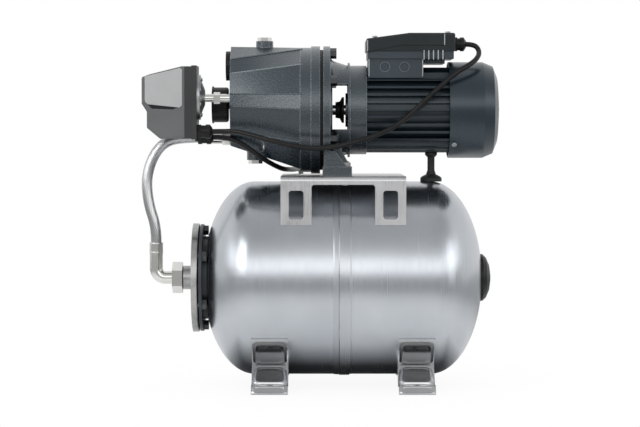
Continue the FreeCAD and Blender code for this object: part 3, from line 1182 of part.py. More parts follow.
def tube(label, points, radius):
    """A round tube along straight runs joined by tangent arcs, as large as the runs allow."""
    spots = [Vector(*point) for point in points]
    edges, last, radii = [], spots[0], []
    for before, corner, after in zip(spots, spots[1:], spots[2:]):
        coming, going = (corner - before), (after - corner)
        turn = coming.getAngle(going)
        reach = 0.45 * min(coming.Length, going.Length)
        radii.append(reach / math.tan(turn / 2))
        start = corner - coming.normalize() * reach
        end = corner + going.normalize() * reach
        inward = (going - coming).normalize()
        middle = corner + inward * (radii[-1] / math.cos(turn / 2) - radii[-1])
        edges.append(Part.LineSegment(last, start).toShape())
        edges.append(Part.Arc(start, middle, end).toShape())
        last = end
    edges.append(Part.LineSegment(last, spots[-1]).toShape())
    path = Part.Wire(edges)
    ring = Part.Wire(Part.Circle(spots[0], spots[1] - spots[0], radius).toShape())
    pipe = path.makePipeShell([ring], True, False)
    ideal = math.pi * radius * radius * path.Length
    print(f"{label}: length {path.Length:.0f}, volume share {pipe.Volume / ideal:.4f},",
          "radii", [round(value) for value in radii])
    return pipe


HOSE_ROUTE = [(-184, 12, 347), (-218, 12, 347), (-249, 10, 342), (-267, 8, 320),
              (-276, 6, 288), (-272, 3, 252), (-261.5, 0, 222), (-261.5, 0, 199.5)]
MOTOR_LEAD_ROUTE = [(-179, -66, 355), (-165, -66, 355), (-149, -71, 355.5), (-126, -81, 350.5),
                    (-99, -91, 342.5), (-72, -95, 336), (-45, -97, 332), (-18, -96, 333),
                    (6, -90, 338), (30, -79, 344.5), (52, -71, 352.5), (73, -68, 362.5),
                    (94, -67.5, 379), (113.5, -68.5, 398.5), (133.5, -66, 417),
                    (155, -61, 436), (173, -53, 446), (185, -42, 455), (190, -28, 465),
                    (184, -20, 476), (171, -20, 476)]
MAINS_ROUTE = [(-179, -40, 347), (-165, -40, 347), (-151, -45, 343.5), (-136, -48, 336),
               (-112, -41, 318), (-86, -6, 302.5), (-73, 34, 301), (-65, 74, 301),
               (-60.5, 110, 302), (-58.5, 134, 289),
               (-58, 149, 255), (-57, 157, 205), (-56.5, 160, 150), (-56, 158.5, 97),
               (-56, 158, 52), (-56.5, 164, 21), (-56.5, 179, 6), (-53.5, 200, 3.6)]


ROUTE_PUMP_Z, ROUTE_TANK_Z, ROUTE_TANK_HALF = 385, 150, 123


def led(points, low_move, high_move):
    """Route points that follow their ends: the lowest by one move, the highest by another."""
    heights = [point[2] for point in points]
    span = max(heights) - min(heights)
    low_move, high_move = Vector(*low_move), Vector(*high_move)
    moved = []
    for point in points:
        share = (point[2] - min(heights)) / span
        moved.append(tuple(Vector(*point) + low_move * (1 - share) + high_move * share))
    return moved


def make_hose():
    """The braided hose with its crimped ends, the tank elbow and its union nut."""
    rise, lift = size("pump_z") - ROUTE_PUMP_Z, size("tank_z") - ROUTE_TANK_Z
    route = led(HOSE_ROUTE, (ROUTE_TANK_HALF - size("tank_half"), 0, lift), (0, 0, rise))
    keep(coded(tube("hose", route, size("hose_radius"))), "braided_hose")
    crimp = size("crimp_radius")
    at = ("hose_port_y", "hose_port_z")
    collar = prism("19", "-casing_left - 13", "-casing_left - 2", at=at)
    tail = cylinder("hose_tail - 0.1", "-casing_left - 3", "-casing_left + 8", at=at)
    sleeve = cylinder("crimp_radius", str(route[0][0]), "-casing_left - 12", at=at)
    keep(fuse(collar, tail, sleeve), "hose_union")
    top = route[-1]
    corner = Vector(top[0], 0, size("tank_z"))
    run = [(-size("union_left") + 6, 0, corner.z), tuple(corner), (corner.x, 0, top[2] - 12)]
    elbow = tube("elbow", run, size("elbow_radius"))
    cup = Part.makeCylinder(crimp, size("crimp_long"),
                            Vector(top[0], 0, top[2] - size("crimp_long")), Z_AXIS)
    keep(coded(elbow.fuse(cup)), "hose_elbow")
    axis = ("0", "tank_z")
    nut = prism("union_flats", "-union_left", "-union_right", at=axis)
    thread = cylinder("spigot_radius", "-union_left + 6", "-union_right + 1", at=axis)
    mouth = cylinder("elbow_radius", "-union_left - 1", "-union_left + 7", at=axis)
    keep(cut(nut, thread, mouth), "union_nut")


def make_leads():
    """The motor lead, the mains lead, its coil on the floor and the plug."""
    radius = size("lead_radius")
    rise = (0, 0, size("pump_z") - ROUTE_PUMP_Z)
    keep(coded(tube("motor lead", led(MOTOR_LEAD_ROUTE, rise, rise), radius)), "motor_lead")
    keep(coded(tube("mains cord", led(MAINS_ROUTE, (0, 0, 0), rise), radius)), "mains_cord")
    coil_x, coil_y, middle = MAINS_ROUTE[-1][0] + 42, MAINS_ROUTE[-1][1], 11 * radius
    ring = Part.makeCylinder(middle + 2 * radius, 4 * radius, Vector(coil_x, coil_y, 0))
    hole = Part.makeCylinder(middle - 2 * radius, 5 * radius, Vector(coil_x, coil_y, -1))
    keep(coded(ring.cut(hole)), "mains_coil")
    start = coil_x + middle + 2 * radius
    wide, high, long = size("plug_wide"), size("plug_high"), size("plug_long")
    grip = Part.makeBox(long, wide, high, Vector(start, coil_y - wide / 2, 0))
    upright = [edge for edge in grip.Edges if abs(edge.tangentAt(0).z) > 0.99]
    grip = grip.makeFillet(6, upright)
    pins = [Part.makeCylinder(2.4, 19, Vector(start + long, coil_y + way * 9.5, high / 2), X_AXIS)
            for way in (-1, 1)]
    keep(coded(grip.fuse(pins)), "mains_plug")


def check_model():
    """Stop where an object failed or a sub-part's shape is empty or not valid."""
    for item in doc.Objects:
        if "Invalid" in item.State or "Error" in item.State:
            raise RuntimeError(f"{item.Name} ({item.Label}) failed: {item.State}")
    for label, item in NODES.items():
        if item.Shape.isNull() or not item.Shape.isValid():
            raise RuntimeError(f"{label} has no valid shape")
        if len(item.Shape.Solids) == 0:
            raise RuntimeError(f"{label} holds no solid")


def main():
    """Build every sub-part, check them and write one file for each."""
    tank = make_tank()
    make_air_valve()
    make_foot("-1 * ", "foot_left")
    make_foot("", "foot_right")
    make_bracket(tank)
    make_buffer()
    make_casing()
    make_casing_fittings()
    make_rotor()
    make_bearings()
    make_lantern()
    make_joining_bolts()
    make_motor()
    make_terminal_box()
    make_glands()
    make_switch()
    make_front_fittings()
    make_hose()
    make_leads()
    doc.recompute()
    check_model()
    os.makedirs("parts", exist_ok=True)
    for label, item in NODES.items():
        item.Shape.exportStep(f"parts/{label}.step")
    print(len(NODES), "sub-parts")


main()
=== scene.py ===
"""Looks of the booster pump set: camera, light, cords, finishes and fine surface pieces."""
import json
import math

import bmesh
import bpy
import numpy as np
from mathutils import Matrix, Vector


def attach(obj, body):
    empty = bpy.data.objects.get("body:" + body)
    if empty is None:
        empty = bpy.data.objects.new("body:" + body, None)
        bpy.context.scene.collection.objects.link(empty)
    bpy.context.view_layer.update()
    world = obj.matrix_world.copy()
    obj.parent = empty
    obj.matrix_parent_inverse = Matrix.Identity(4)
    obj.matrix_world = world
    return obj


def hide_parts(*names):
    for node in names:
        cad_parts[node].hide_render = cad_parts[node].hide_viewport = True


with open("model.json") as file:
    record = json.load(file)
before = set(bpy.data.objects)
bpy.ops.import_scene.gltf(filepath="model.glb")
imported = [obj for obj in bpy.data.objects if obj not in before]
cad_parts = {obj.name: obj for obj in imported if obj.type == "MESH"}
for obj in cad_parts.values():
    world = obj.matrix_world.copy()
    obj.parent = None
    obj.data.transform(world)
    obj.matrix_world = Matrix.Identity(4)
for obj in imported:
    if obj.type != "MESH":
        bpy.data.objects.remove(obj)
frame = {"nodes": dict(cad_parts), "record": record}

MM = 0.001
FULL_TURN = 2 * math.pi
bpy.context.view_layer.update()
RECORD = frame["record"]

# Camera: a long lens a little below the pump's axis
CAMERA_PLACE = (-0.0316, -3.0, 0.357)
CAMERA_DROP = math.radians(2.235)
FOCAL_PIXELS, PHOTO_WIDTH = 2139, 640
SENSOR = 36.0

# Heights of the two main axes in millimetres, as in the model
TANK_AXIS = 150.0
PUMP_AXIS = 385.0


def make_camera():
    """A long lens in front of the set, tipped down a little."""
    data = bpy.data.cameras.new("camera")
    data.sensor_width = SENSOR
    data.lens = FOCAL_PIXELS * SENSOR / PHOTO_WIDTH
    data.clip_end = 20
    camera = bpy.data.objects.new("camera", data)
    camera.location = CAMERA_PLACE
    camera.rotation_euler = (math.radians(90) - CAMERA_DROP, 0, 0)
    bpy.context.collection.objects.link(camera)
    bpy.context.scene.camera = camera


# Building blocks for node trees; the first argument is a material or the world
def make_material(name):
    """An empty node material and its shader."""
    material = bpy.data.materials.new(name)
    material.use_nodes = True
    return material, material.node_tree.nodes["Principled BSDF"]


def node(material, kind, **settings):
    """A new shader node with some of its settings."""
    item = material.node_tree.nodes.new(kind)
    for key, value in settings.items():
        setattr(item, key, value)
    return item


def link(material, start, end):
    """Join an output to an input."""
    material.node_tree.links.new(start, end)


def fill(material, socket, value):
    """Give an input a number, a colour or another node's output."""
    if isinstance(value, (int, float)):
        socket.default_value = value
    elif isinstance(value, tuple):
        socket.default_value = (*value, 1.0)
    else:
        link(material, value, socket)


def maths(material, operation, *terms):
    """One step of arithmetic on numbers or outputs."""
    item = node(material, "ShaderNodeMath", operation=operation)
    for socket, term in zip(item.inputs, terms):
        fill(material, socket, term)
    return item.outputs[0]


def spread(material, value, low, high, floor=0.3, ceiling=0.7, curve="LINEAR"):
    """A number that goes from low to high while a value goes from floor to ceiling."""
    item = node(material, "ShaderNodeMapRange", interpolation_type=curve)
    item.inputs["From Min"].default_value = floor
    item.inputs["From Max"].default_value = ceiling
    item.inputs["To Min"].default_value = low
    item.inputs["To Max"].default_value = high
    link(material, value, item.inputs["Value"])
    return item.outputs["Result"]


def mix(material, share, first, second):
    """Two colours mixed by a share; each is an output or a tuple."""
    item = node(material, "ShaderNodeMix", data_type="RGBA")
    fill(material, item.inputs[0], share)
    fill(material, item.inputs[6], first)
    fill(material, item.inputs[7], second)
    return item.outputs[2]


def mix_numbers(material, share, first, second):
    """Two numbers mixed by a share; each is an output or a number."""
    item = node(material, "ShaderNodeMix")
    fill(material, item.inputs[0], share)
    fill(material, item.inputs[2], first)
    fill(material, item.inputs[3], second)
    return item.outputs[0]


def coordinates(material, stretch=(1, 1, 1)):
    """Object coordinates in metres, each axis multiplied by its stretch."""
    source = node(material, "ShaderNodeTexCoord")
    mapping = node(material, "ShaderNodeMapping")
    mapping.inputs["Scale"].default_value = stretch
    link(material, source.outputs["Object"], mapping.inputs["Vector"])
    return mapping.outputs["Vector"]


def axis_distances(material):
    """How far a point lies from the middle along X and along Y, in metres."""
    place = node(material, "ShaderNodeSeparateXYZ")
    link(material, coordinates(material), place.inputs[0])
    return [maths(material, "ABSOLUTE", place.outputs[axis]) for axis in ("X", "Y")]


def noise(material, scale, detail=4.0, roughness=0.55, stretch=(1, 1, 1)):
    """Fractal noise over the object's coordinates."""
    item = node(material, "ShaderNodeTexNoise")
    item.inputs["Scale"].default_value = scale
    item.inputs["Detail"].default_value = detail
    item.inputs["Roughness"].default_value = roughness
    link(material, coordinates(material, stretch), item.inputs["Vector"])
    return item.outputs["Fac"]


def raise_surface(material, shader, height, strength, distance, edge=0.0):
    """Bump from a height, over edges that are rounded by a small radius."""
    item = node(material, "ShaderNodeBump")
    item.inputs["Strength"].default_value = strength
    item.inputs["Distance"].default_value = distance
    link(material, height, item.inputs["Height"])
    if edge > 0:
        soft = node(material, "ShaderNodeBevel", samples=6)
        soft.inputs["Radius"].default_value = edge
        link(material, soft.outputs["Normal"], item.inputs["Normal"])
    link(material, item.outputs["Normal"], shader.inputs["Normal"])


def worn_edges(material, radius):
    """A mask that is bright where two faces meet: the rounded normal leaves the flat one."""
    geometry = node(material, "ShaderNodeNewGeometry")
    rounded = node(material, "ShaderNodeBevel", samples=6)
    rounded.inputs["Radius"].default_value = radius
    agree = node(material, "ShaderNodeVectorMath", operation="DOT_PRODUCT")
    link(material, rounded.outputs["Normal"], agree.inputs[0])
    link(material, geometry.outputs["Normal"], agree.inputs[1])
    return spread(material, agree.outputs["Value"], 1.0, 0.0, floor=0.86, ceiling=0.995)


# Finishes
def shade(colour, share, lift=0.0):
    """A darker or lighter shade of a colour: each part times the share, plus the lift."""
    return tuple(min(1.0, part * share + lift) for part in colour)


def metal(name, colour, rough, grain=(1, 1, 1), grain_scale=900, edge=0.0004):
    """Bare or plated metal: fine grain along one way, soft clouds in colour and gloss."""
    material, shader = make_material(name)
    fine = noise(material, grain_scale, 2, 0.6, grain)
    cloud = noise(material, 14, 4, 0.6)
    body = mix(material, spread(material, cloud, 0, 1), shade(colour, 0.92),
               shade(colour, 1.08))
    link(material, body, shader.inputs["Base Color"])
    shader.inputs["Metallic"].default_value = 1.0
    gloss = maths(material, "ADD", spread(material, fine, rough * 0.75, rough * 1.2),
                  spread(material, cloud, -0.15 * rough, 0.15 * rough))
    link(material, gloss, shader.inputs["Roughness"])
    raise_surface(material, shader, fine, 0.06, 0.0004, edge)
    return material


def zinc(name):
    """Zinc plate: pale grey with faint warm and blue patches and a fine grain."""
    material, shader = make_material(name)
    cloud = noise(material, 60, 5, 0.65)
    patch = noise(material, 22, 3, 0.5)
    grey = mix(material, spread(material, cloud, 0, 1), (0.30, 0.31, 0.33), (0.55, 0.56, 0.57))
    link(material, mix(material, spread(material, patch, 0, 0.35), grey, (0.52, 0.49, 0.42)),
         shader.inputs["Base Color"])
    shader.inputs["Metallic"].default_value = 0.95
    link(material, spread(material, cloud, 0.26, 0.44), shader.inputs["Roughness"])
    raise_surface(material, shader, noise(material, 700, 3), 0.10, 0.0005, 0.0005)
    return material


def paint(name, colour, rough, grain_scale, bump, edge=0.0012, coat=0.15, specular=0.5,
          depth=0.0012, shine=1.6, rub_and_glint=None):
    """Sprayed paint: sand, clouds, pale specks as painted glints, a clear coat, rubbed edges
    with painted glints.
    """
    material, shader = make_material(name)
    sand = noise(material, grain_scale, 5, 0.62)
    cloud = noise(material, 9, 4, 0.55)
    specks = noise(material, grain_scale * 2.5, 2, 0.5)
    light = shade(colour, 1.35, 0.004)
    body = mix(material, spread(material, cloud, 0, 1), colour, light)
    # Pale speckled edges: rubbed paint, and painted glints where the edges catch the light
    worn_and_glint_mask = maths(material, "MULTIPLY", worn_edges(material, edge),
                   spread(material, specks, 0.15, 1.0, floor=0.42, ceiling=0.60))
    rubbed_and_glinting = mix(material, worn_and_glint_mask, body, rub_and_glint or shade(colour, 2.2, 0.01))
    # Pale specks all over: painted glints on the sand grain
    glint_specks = spread(material, specks, 0, 0.22, floor=0.5, ceiling=0.75)
    link(material, mix(material, glint_specks, rubbed_and_glinting, light), shader.inputs["Base Color"])
    shader.inputs["Specular IOR Level"].default_value = specular
    shader.inputs["Coat Weight"].default_value = coat
    shader.inputs["Coat Roughness"].default_value = rough
    shader.inputs["Coat IOR"].default_value = shine
    shader.inputs["Specular Tint"].default_value = (0.76, 0.90, 1.0, 1.0)
    link(material, spread(material, sand, rough * 0.8, rough * 1.2), shader.inputs["Roughness"])
    raise_surface(material, shader, sand, bump, depth, edge)
    return material


def plastic(name, colour, rough, grain_scale=1400, bump=0.12, specular=0.5):
    """Moulded plastic: a fine spark-eroded grain, slight flow clouds and soft edges."""
    material, shader = make_material(name)
    grain = noise(material, grain_scale, 2, 0.5)
    cloud = noise(material, 18, 3, 0.5)
    body = mix(material, spread(material, cloud, 0, 1), colour, shade(colour, 1.18, 0.004))
    link(material, body, shader.inputs["Base Color"])
    shader.inputs["Specular IOR Level"].default_value = specular
    link(material, spread(material, grain, rough * 0.85, rough * 1.15),
         shader.inputs["Roughness"])
    raise_surface(material, shader, grain, bump, 0.0004, 0.0006)
    return material


def braid(name):
    """Woven steel wire, with a painted highlight on the strands' crests and painted shade in the
    gaps between them.
    """
    material, shader = make_material(name)
    crest = node(material, "ShaderNodeAttribute", attribute_name="strand")
    wire = noise(material, 1500, 2, 0.5)
    share = maths(material, "MULTIPLY", crest.outputs["Fac"], spread(material, wire, 0.7, 1.0))
    # Painted shade in the gaps between strands, painted highlight on their crests
    link(material, mix(material, share, (0.07, 0.07, 0.075), (0.90, 0.91, 0.92)),
         shader.inputs["Base Color"])
    shader.inputs["Metallic"].default_value = 1.0
    link(material, spread(material, wire, 0.10, 0.18), shader.inputs["Roughness"])
    raise_surface(material, shader, wire, 0.1, 0.0003)
    return material


def glass(name):
    """Clear moulded lens with faint scratches."""
    material, shader = make_material(name)
    shader.inputs["Transmission Weight"].default_value = 1.0
    shader.inputs["IOR"].default_value = 1.49
    scratch = noise(material, 600, 2, 0.5, (1, 8, 1))
    link(material, spread(material, scratch, 0.02, 0.09), shader.inputs["Roughness"])
    link(material, mix(material, spread(material, scratch, 0, 1), (0.95, 0.97, 0.97),
                       (0.99, 1.0, 1.0)), shader.inputs["Base Color"])
    return material


def steel(name, low, high, rough, grain, wave_height=0.8, tint=0.0):
    """Rolled stainless: fine grain along one way, slow waves, and a heat tint by the weld."""
    material, shader = make_material(name)
    rings = noise(material, 420, 3, 0.6, grain)
    wave = noise(material, 7, 2, 0.4, (1, 1.6, 1.6))
    cloud = noise(material, 10, 4, 0.6)
    colour = mix(material, spread(material, cloud, 0, 1), low, high)
    if tint > 0:
        from_weld, _ = axis_distances(material)
        near = spread(material, from_weld, tint, 0, floor=0.007, ceiling=0.017)
        colour = mix(material, near, colour, (0.40, 0.37, 0.33))
    link(material, colour, shader.inputs["Base Color"])
    shader.inputs["Metallic"].default_value = 1.0
    link(material, spread(material, rings, rough * 0.9, rough * 1.1),
         shader.inputs["Roughness"])
    height = maths(material, "MULTIPLY_ADD", wave, wave_height, rings)
    raise_surface(material, shader, height, 0.016, 0.002)
    return material


ALONG_X, ROUND_X = (0.03, 1, 1), (1, 0.02, 0.02)
# Pale edge colour of the paint: rubbed paint, and painted glints on the edges
RUBBED_AND_GLINT = (0.30, 0.34, 0.37)


def make_finishes():
    """A finish for each material slot of the record, and those that single pieces have."""
    cast = {"coat": 0.55, "specular": 0.8, "depth": 0.0013, "shine": 1.85, "rub_and_glint": RUBBED_AND_GLINT}
    return {
        "stainless": steel("tank_steel", (0.49, 0.52, 0.555), (0.57, 0.60, 0.635), 0.25,
                           ROUND_X, tint=0.12),
        "foot_steel": steel("foot_steel", (0.50, 0.51, 0.52), (0.60, 0.61, 0.62), 0.14,
                            ALONG_X, wave_height=0.4),
        # Near-black steel for the pads: painted shade and painted reflection of the shadowed
        # floor under the tank
        "pad_steel_painted_shade": steel("pad_steel_painted_shade", (0.12, 0.125, 0.13), (0.20, 0.205, 0.21), 0.12,
                           ALONG_X, wave_height=0.4),
        "weld_steel": steel("weld_steel", (0.44, 0.465, 0.495), (0.54, 0.565, 0.60), 0.31,
                            ROUND_X),
        "bracket_steel": metal("bracket_steel", (0.66, 0.66, 0.67), 0.36, (40, 1, 1), 30,
                               edge=0.0008),
        "bare_steel": metal("bare_steel", (0.60, 0.60, 0.60), 0.22, (1, 0.05, 0.05), 500),
        "zinc": zinc("zinc_plate"),
        "dull_zinc": metal("dull_zinc", (0.10, 0.105, 0.11), 0.3),
        "brass": metal("brass", (0.72, 0.58, 0.32), 0.26),
        "nickel": metal("nickel", (0.76, 0.755, 0.73), 0.14),
        "copper": metal("copper", (0.70, 0.30, 0.16), 0.3),
        "braid": braid("braid_wire_painted_shading"),
        "black_steel": paint("black_steel", (0.022, 0.022, 0.024), 0.42, 700, 0.08),
        "casting": paint("cast_paint", (0.005, 0.011, 0.016), 0.27, 330, 0.50,
                         edge=0.0016, **cast),
        # A paler paint for the upper casing bead: a painted highlight along it
        "casting_highlight": paint("paint_highlight", (0.10, 0.12, 0.135), 0.30, 330, 0.50,
                                edge=0.0006, **cast),
        "frame_paint": paint("frame_paint", (0.004, 0.009, 0.013), 0.32, 500, 0.30,
                             edge=0.0008, coat=0.3, rub_and_glint=(0.07, 0.08, 0.09)),
        "cover_paint": paint("cover_paint", (0.008, 0.015, 0.021), 0.24, 650, 0.10,
                             edge=0.001, coat=0.3),
        "black_plastic": plastic("black_plastic", (0.005, 0.005, 0.006), 0.36, specular=0.28),
        "skirt_plastic": plastic("skirt_plastic", (0.018, 0.019, 0.020), 0.42),
        "panel_plastic": plastic("panel_plastic", (0.315, 0.325, 0.325), 0.5),
        "box_grey": plastic("box_grey", (0.026, 0.037, 0.046), 0.36, specular=0.4),
        # Paler plastic for the knockout rings: a painted highlight on their edges
        "ring_highlight_plastic": plastic("ring_highlight_plastic", (0.11, 0.13, 0.15), 0.3),
        # Pale plastic for the box's ribs and strips: painted highlights
        "rib_highlight_plastic": plastic("rib_highlight_plastic", (0.30, 0.32, 0.33), 0.3),
        "box_plastic": plastic("box_plastic", (0.007, 0.011, 0.013), 0.32, specular=0.36),
        "switch_plastic": plastic("switch_plastic", (0.088, 0.090, 0.092), 0.46),
        "white_plastic": plastic("white_plastic", (0.72, 0.71, 0.68), 0.45),
        "needle": plastic("needle", (0.01, 0.01, 0.01), 0.4),
        "rubber": plastic("rubber", (0.010, 0.011, 0.012), 0.5, grain_scale=900, bump=0.2,
                          specular=0.35),
        "cord_jacket": plastic("cord_jacket", (0.003, 0.003, 0.0035), 0.30, grain_scale=800,
                               bump=0.15, specular=0.30),
        "lens": glass("lens"),
    }


# CAD nodes whose finish isn't the plain one of their slot
OWN_FINISH = {"foot_left": "foot_steel", "foot_right": "foot_steel",
              "switch_base": "skirt_plastic", "terminal_box": "box_grey",
              "flange_bolts": "dull_zinc", "casing_bolts": "dull_zinc"}


def dress(finishes):
    """Give every CAD node the finish of its material slot, or its own."""
    for row in RECORD["subparts"]:
        item = frame["nodes"][row["node"]]
        item.data.materials.clear()
        item.data.materials.append(finishes[OWN_FINISH.get(row["node"], row["material_slot"])])


# The studio in front of the set: brightness of the surround by the sine of its height
STUDIO = ((-1.0, 0.60), (-0.18, 0.44), (-0.05, 0.36), (0.03, 0.46), (0.13, 1.02),
          (0.27, 1.80), (0.44, 1.25), (0.57, 0.74), (0.85, 0.52), (1.0, 0.60))
CURVE_TOP = 2.0
BEHIND = 0.85


def make_surround():
    """A studio surround: a bright band in front, white behind and white to the camera.

    A curve holds the brightness divided by CURVE_TOP, over (sine of the height + 1) / 2.
    """
    world = bpy.data.worlds.new("surround")
    bpy.context.scene.world = world
    world.use_nodes = True
    way = node(world, "ShaderNodeSeparateXYZ")
    link(world, node(world, "ShaderNodeTexCoord").outputs["Generated"], way.inputs[0])
    ramp = node(world, "ShaderNodeFloatCurve")
    points = ramp.mapping.curves[0].points
    for sine, bright in STUDIO[1:-1]:
        points.new((sine + 1) / 2, bright / CURVE_TOP)
    points[0].location = (0, STUDIO[0][1] / CURVE_TOP)
    points[-1].location = (1, STUDIO[-1][1] / CURVE_TOP)
    ramp.mapping.update()
    link(world, maths(world, "MULTIPLY_ADD", way.outputs["Z"], 0.5, 0.5), ramp.inputs["Value"])
    front = maths(world, "MULTIPLY", ramp.outputs[0], CURVE_TOP)
    turned = spread(world, way.outputs["Y"], 0, 1, floor=-0.15, ceiling=0.35,
                    curve="SMOOTHSTEP")
    studio = mix_numbers(world, turned, front, BEHIND)
    path = node(world, "ShaderNodeLightPath")
    straight = maths(world, "MAXIMUM", path.outputs["Is Camera Ray"],
                     path.outputs["Is Transmission Ray"])
    background = world.node_tree.nodes["Background"]
    background.inputs["Color"].default_value = (1, 1, 1, 1)
    link(world, mix_numbers(world, straight, studio, 1.0), background.inputs["Strength"])


LIGHT_AIM = (0, 0, 0.25)


def area_light(name, place, size_x, size_y, power, mirrored=True):
    """A soft box that faces the set; one that isn't mirrored stays out of the reflections."""
    data = bpy.data.lights.new(name, "AREA")
    data.shape = "RECTANGLE"
    data.size = size_x
    data.size_y = size_y
    data.energy = power
    lamp = bpy.data.objects.new(name, data)
    lamp.location = place
    aim = Vector(LIGHT_AIM) - Vector(place)
    lamp.rotation_euler = aim.to_track_quat("-Z", "Y").to_euler()
    lamp.visible_glossy = mirrored
    bpy.context.collection.objects.link(lamp)


def make_light():
    """The surround, and soft boxes over and beside the set."""
    make_surround()
    area_light("key_box", (-1.1, -1.5, 2.0), 1.8, 1.3, 9, mirrored=False)
    area_light("top_box", (0.1, 0.2, 2.3), 2.0, 1.4, 8, mirrored=False)
    area_light("side_box_right", (1.8, -0.8, 0.7), 0.8, 1.3, 1.6)
    area_light("side_box_left", (-1.5, -1.5, 1.2), 1.1, 1.2, 7)


FLOOR_HALF = 3.0
PAINTED_SHADE_HALF_LENGTH = 0.11


def make_floor():
    """A pale matt floor that fades into the white surround away from the set.

    The camera sees it nearly white, so that only the contact shadow stays. In the glossy
    pieces it shows a painted shade right under the tank, a dark colour only glossy rays see.
    """
    mesh = bpy.data.meshes.new("floor")
    square = np.array([(-1, -1, 0), (1, -1, 0), (1, 1, 0), (-1, 1, 0)]) * FLOOR_HALF
    mesh.from_pydata(square.tolist(), [], [(0, 1, 2, 3)])
    floor = bpy.data.objects.new("floor", mesh)
    bpy.context.collection.objects.link(floor)
    material, shader = make_material("floor_white")
    path = node(material, "ShaderNodeLightPath")
    mirror, camera = path.outputs["Is Glossy Ray"], path.outputs["Is Camera Ray"]
    along, across = axis_distances(material)
    away = maths(material, "MAXIMUM", maths(material, "SUBTRACT", along, PAINTED_SHADE_HALF_LENGTH),
                 across)
    # Painted shade: glossy rays see the floor near black right under the tank
    under = maths(material, "MULTIPLY", mirror,
                  spread(material, away, 0.97, 0, floor=0.045, ceiling=0.115))
    pale = mix(material, noise(material, 3, 3, 0.5), (0.92, 0.92, 0.92), (0.95, 0.95, 0.95))
    link(material, mix(material, under, pale, (0.04, 0.042, 0.045)),
         shader.inputs["Base Color"])
    shader.inputs["Roughness"].default_value = 0.6
    reach = node(material, "ShaderNodeVectorMath", operation="LENGTH")
    link(material, coordinates(material), reach.inputs[0])
    distance = reach.outputs["Value"]
    mirrored = maths(material, "MULTIPLY",
                     spread(material, distance, 0, 1, floor=0.35, ceiling=0.9), mirror)
    watched = maths(material, "MULTIPLY",
                    spread(material, distance, 0.92, 1, floor=0.1, ceiling=0.5), camera)
    glow = node(material, "ShaderNodeEmission")
    link(material, spread(material, mirror, 1.0, 0.42, floor=0, ceiling=1),
         glow.inputs["Strength"])
    blend = node(material, "ShaderNodeMixShader")
    link(material, maths(material, "MAXIMUM", mirrored, watched), blend.inputs[0])
    link(material, shader.outputs[0], blend.inputs[1])
    link(material, glow.outputs[0], blend.inputs[2])
    link(material, blend.outputs[0],
         material.node_tree.nodes["Material Output"].inputs["Surface"])
    mesh.materials.append(material)


# Building blocks for surface pieces, in millimetres
def around(count):
    """Angles at equal steps round a circle, the first one at 0."""
    return np.linspace(0, FULL_TURN, count, endpoint=False)


def grid_faces(rows, columns, wrap_rows=False, wrap_columns=False):
    """The four-cornered faces of a grid of points, row after row."""
    row = np.arange(rows if wrap_rows else rows - 1)
    column = np.arange(columns if wrap_columns else columns - 1)
    first, second = (array.ravel() for array in np.meshgrid(row, column, indexing="ij"))
    after, beside = (first + 1) % rows, (second + 1) % columns
    return np.stack([first * columns + second, first * columns + beside,
                     after * columns + beside, after * columns + second], axis=1)


def tube_faces(rows, columns, base=0):
    """The faces of a closed tube of point rings, with one flat face at each end."""
    ring = np.arange(columns)
    ends = np.stack([ring[::-1], (rows - 1) * columns + ring])
    return (grid_faces(rows, columns, False, True) + base).tolist() + (ends + base).tolist()


def repeated(faces, count, size):
    """The same faces for several copies of a shape, each with size points."""
    faces = np.asarray(faces)
    shift = size * np.arange(count)[:, None, None]
    return (faces[None, :, :] + shift).reshape(-1, faces.shape[1]).tolist()


def bar(left, right, low, high):
    """The outline of an upright rectangle in X and Z."""
    return ((left, low), (right, low), (right, high), (left, high))


def add_piece(name, corners, faces, finish, smooth=True):
    """A new surface piece from corners in millimetres, on the chassis and in a material slot."""
    mesh = bpy.data.meshes.new(name)
    mesh.from_pydata((np.asarray(corners) * MM).tolist(), [], [tuple(face) for face in faces])
    mesh.validate()
    mesh.polygons.foreach_set("use_smooth", np.full(len(mesh.polygons), smooth))
    mesh.materials.append(finish)
    piece = bpy.data.objects.new(name, mesh)
    bpy.context.collection.objects.link(piece)
    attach(piece, "chassis")
    return piece


def outward(piece, weld=False):
    """Turn all faces of a closed piece outwards, after its doubles are merged if it has any."""
    helper = bmesh.new()
    helper.from_mesh(piece.data)
    if weld:
        bmesh.ops.remove_doubles(helper, verts=helper.verts, dist=0.01 * MM)
    bmesh.ops.recalc_face_normals(helper, faces=helper.faces)
    helper.to_mesh(piece.data)
    helper.free()


def plate_piece(name, outline, near, far, finish, soft=0.6):
    """A flat plate with bevelled edges.

    Corner = (x, y, z) with (x, z) along the outline and y at the near and at the far depth.
    """
    x, z = np.array(outline, dtype=float).T
    count = len(outline)
    corners = np.stack([np.tile(x, 2), np.repeat([near, far], count), np.tile(z, 2)], axis=1)
    piece = add_piece(name, corners, tube_faces(2, count), finish, smooth=False)
    outward(piece)
    bevel = piece.modifiers.new("soft", "BEVEL")
    bevel.width = soft * MM
    bevel.segments = 3
    return piece


def sheet_piece(name, top, under, finish, slot):
    """A thin closed sheet between two grids of points of the same shape."""
    rows, columns = top.shape[:2]
    count = 2 * columns
    faces = grid_faces(rows, count, False, True).tolist()
    step = np.arange(columns - 1)
    cap = np.stack([step, step + 1, count - 2 - step, count - 1 - step], axis=1)
    faces += cap[:, ::-1].tolist() + (cap + (rows - 1) * count).tolist()
    loops = np.concatenate([top, under[:, ::-1]], axis=1).reshape(-1, 3)
    outward(add_piece(name, loops, faces, finish))


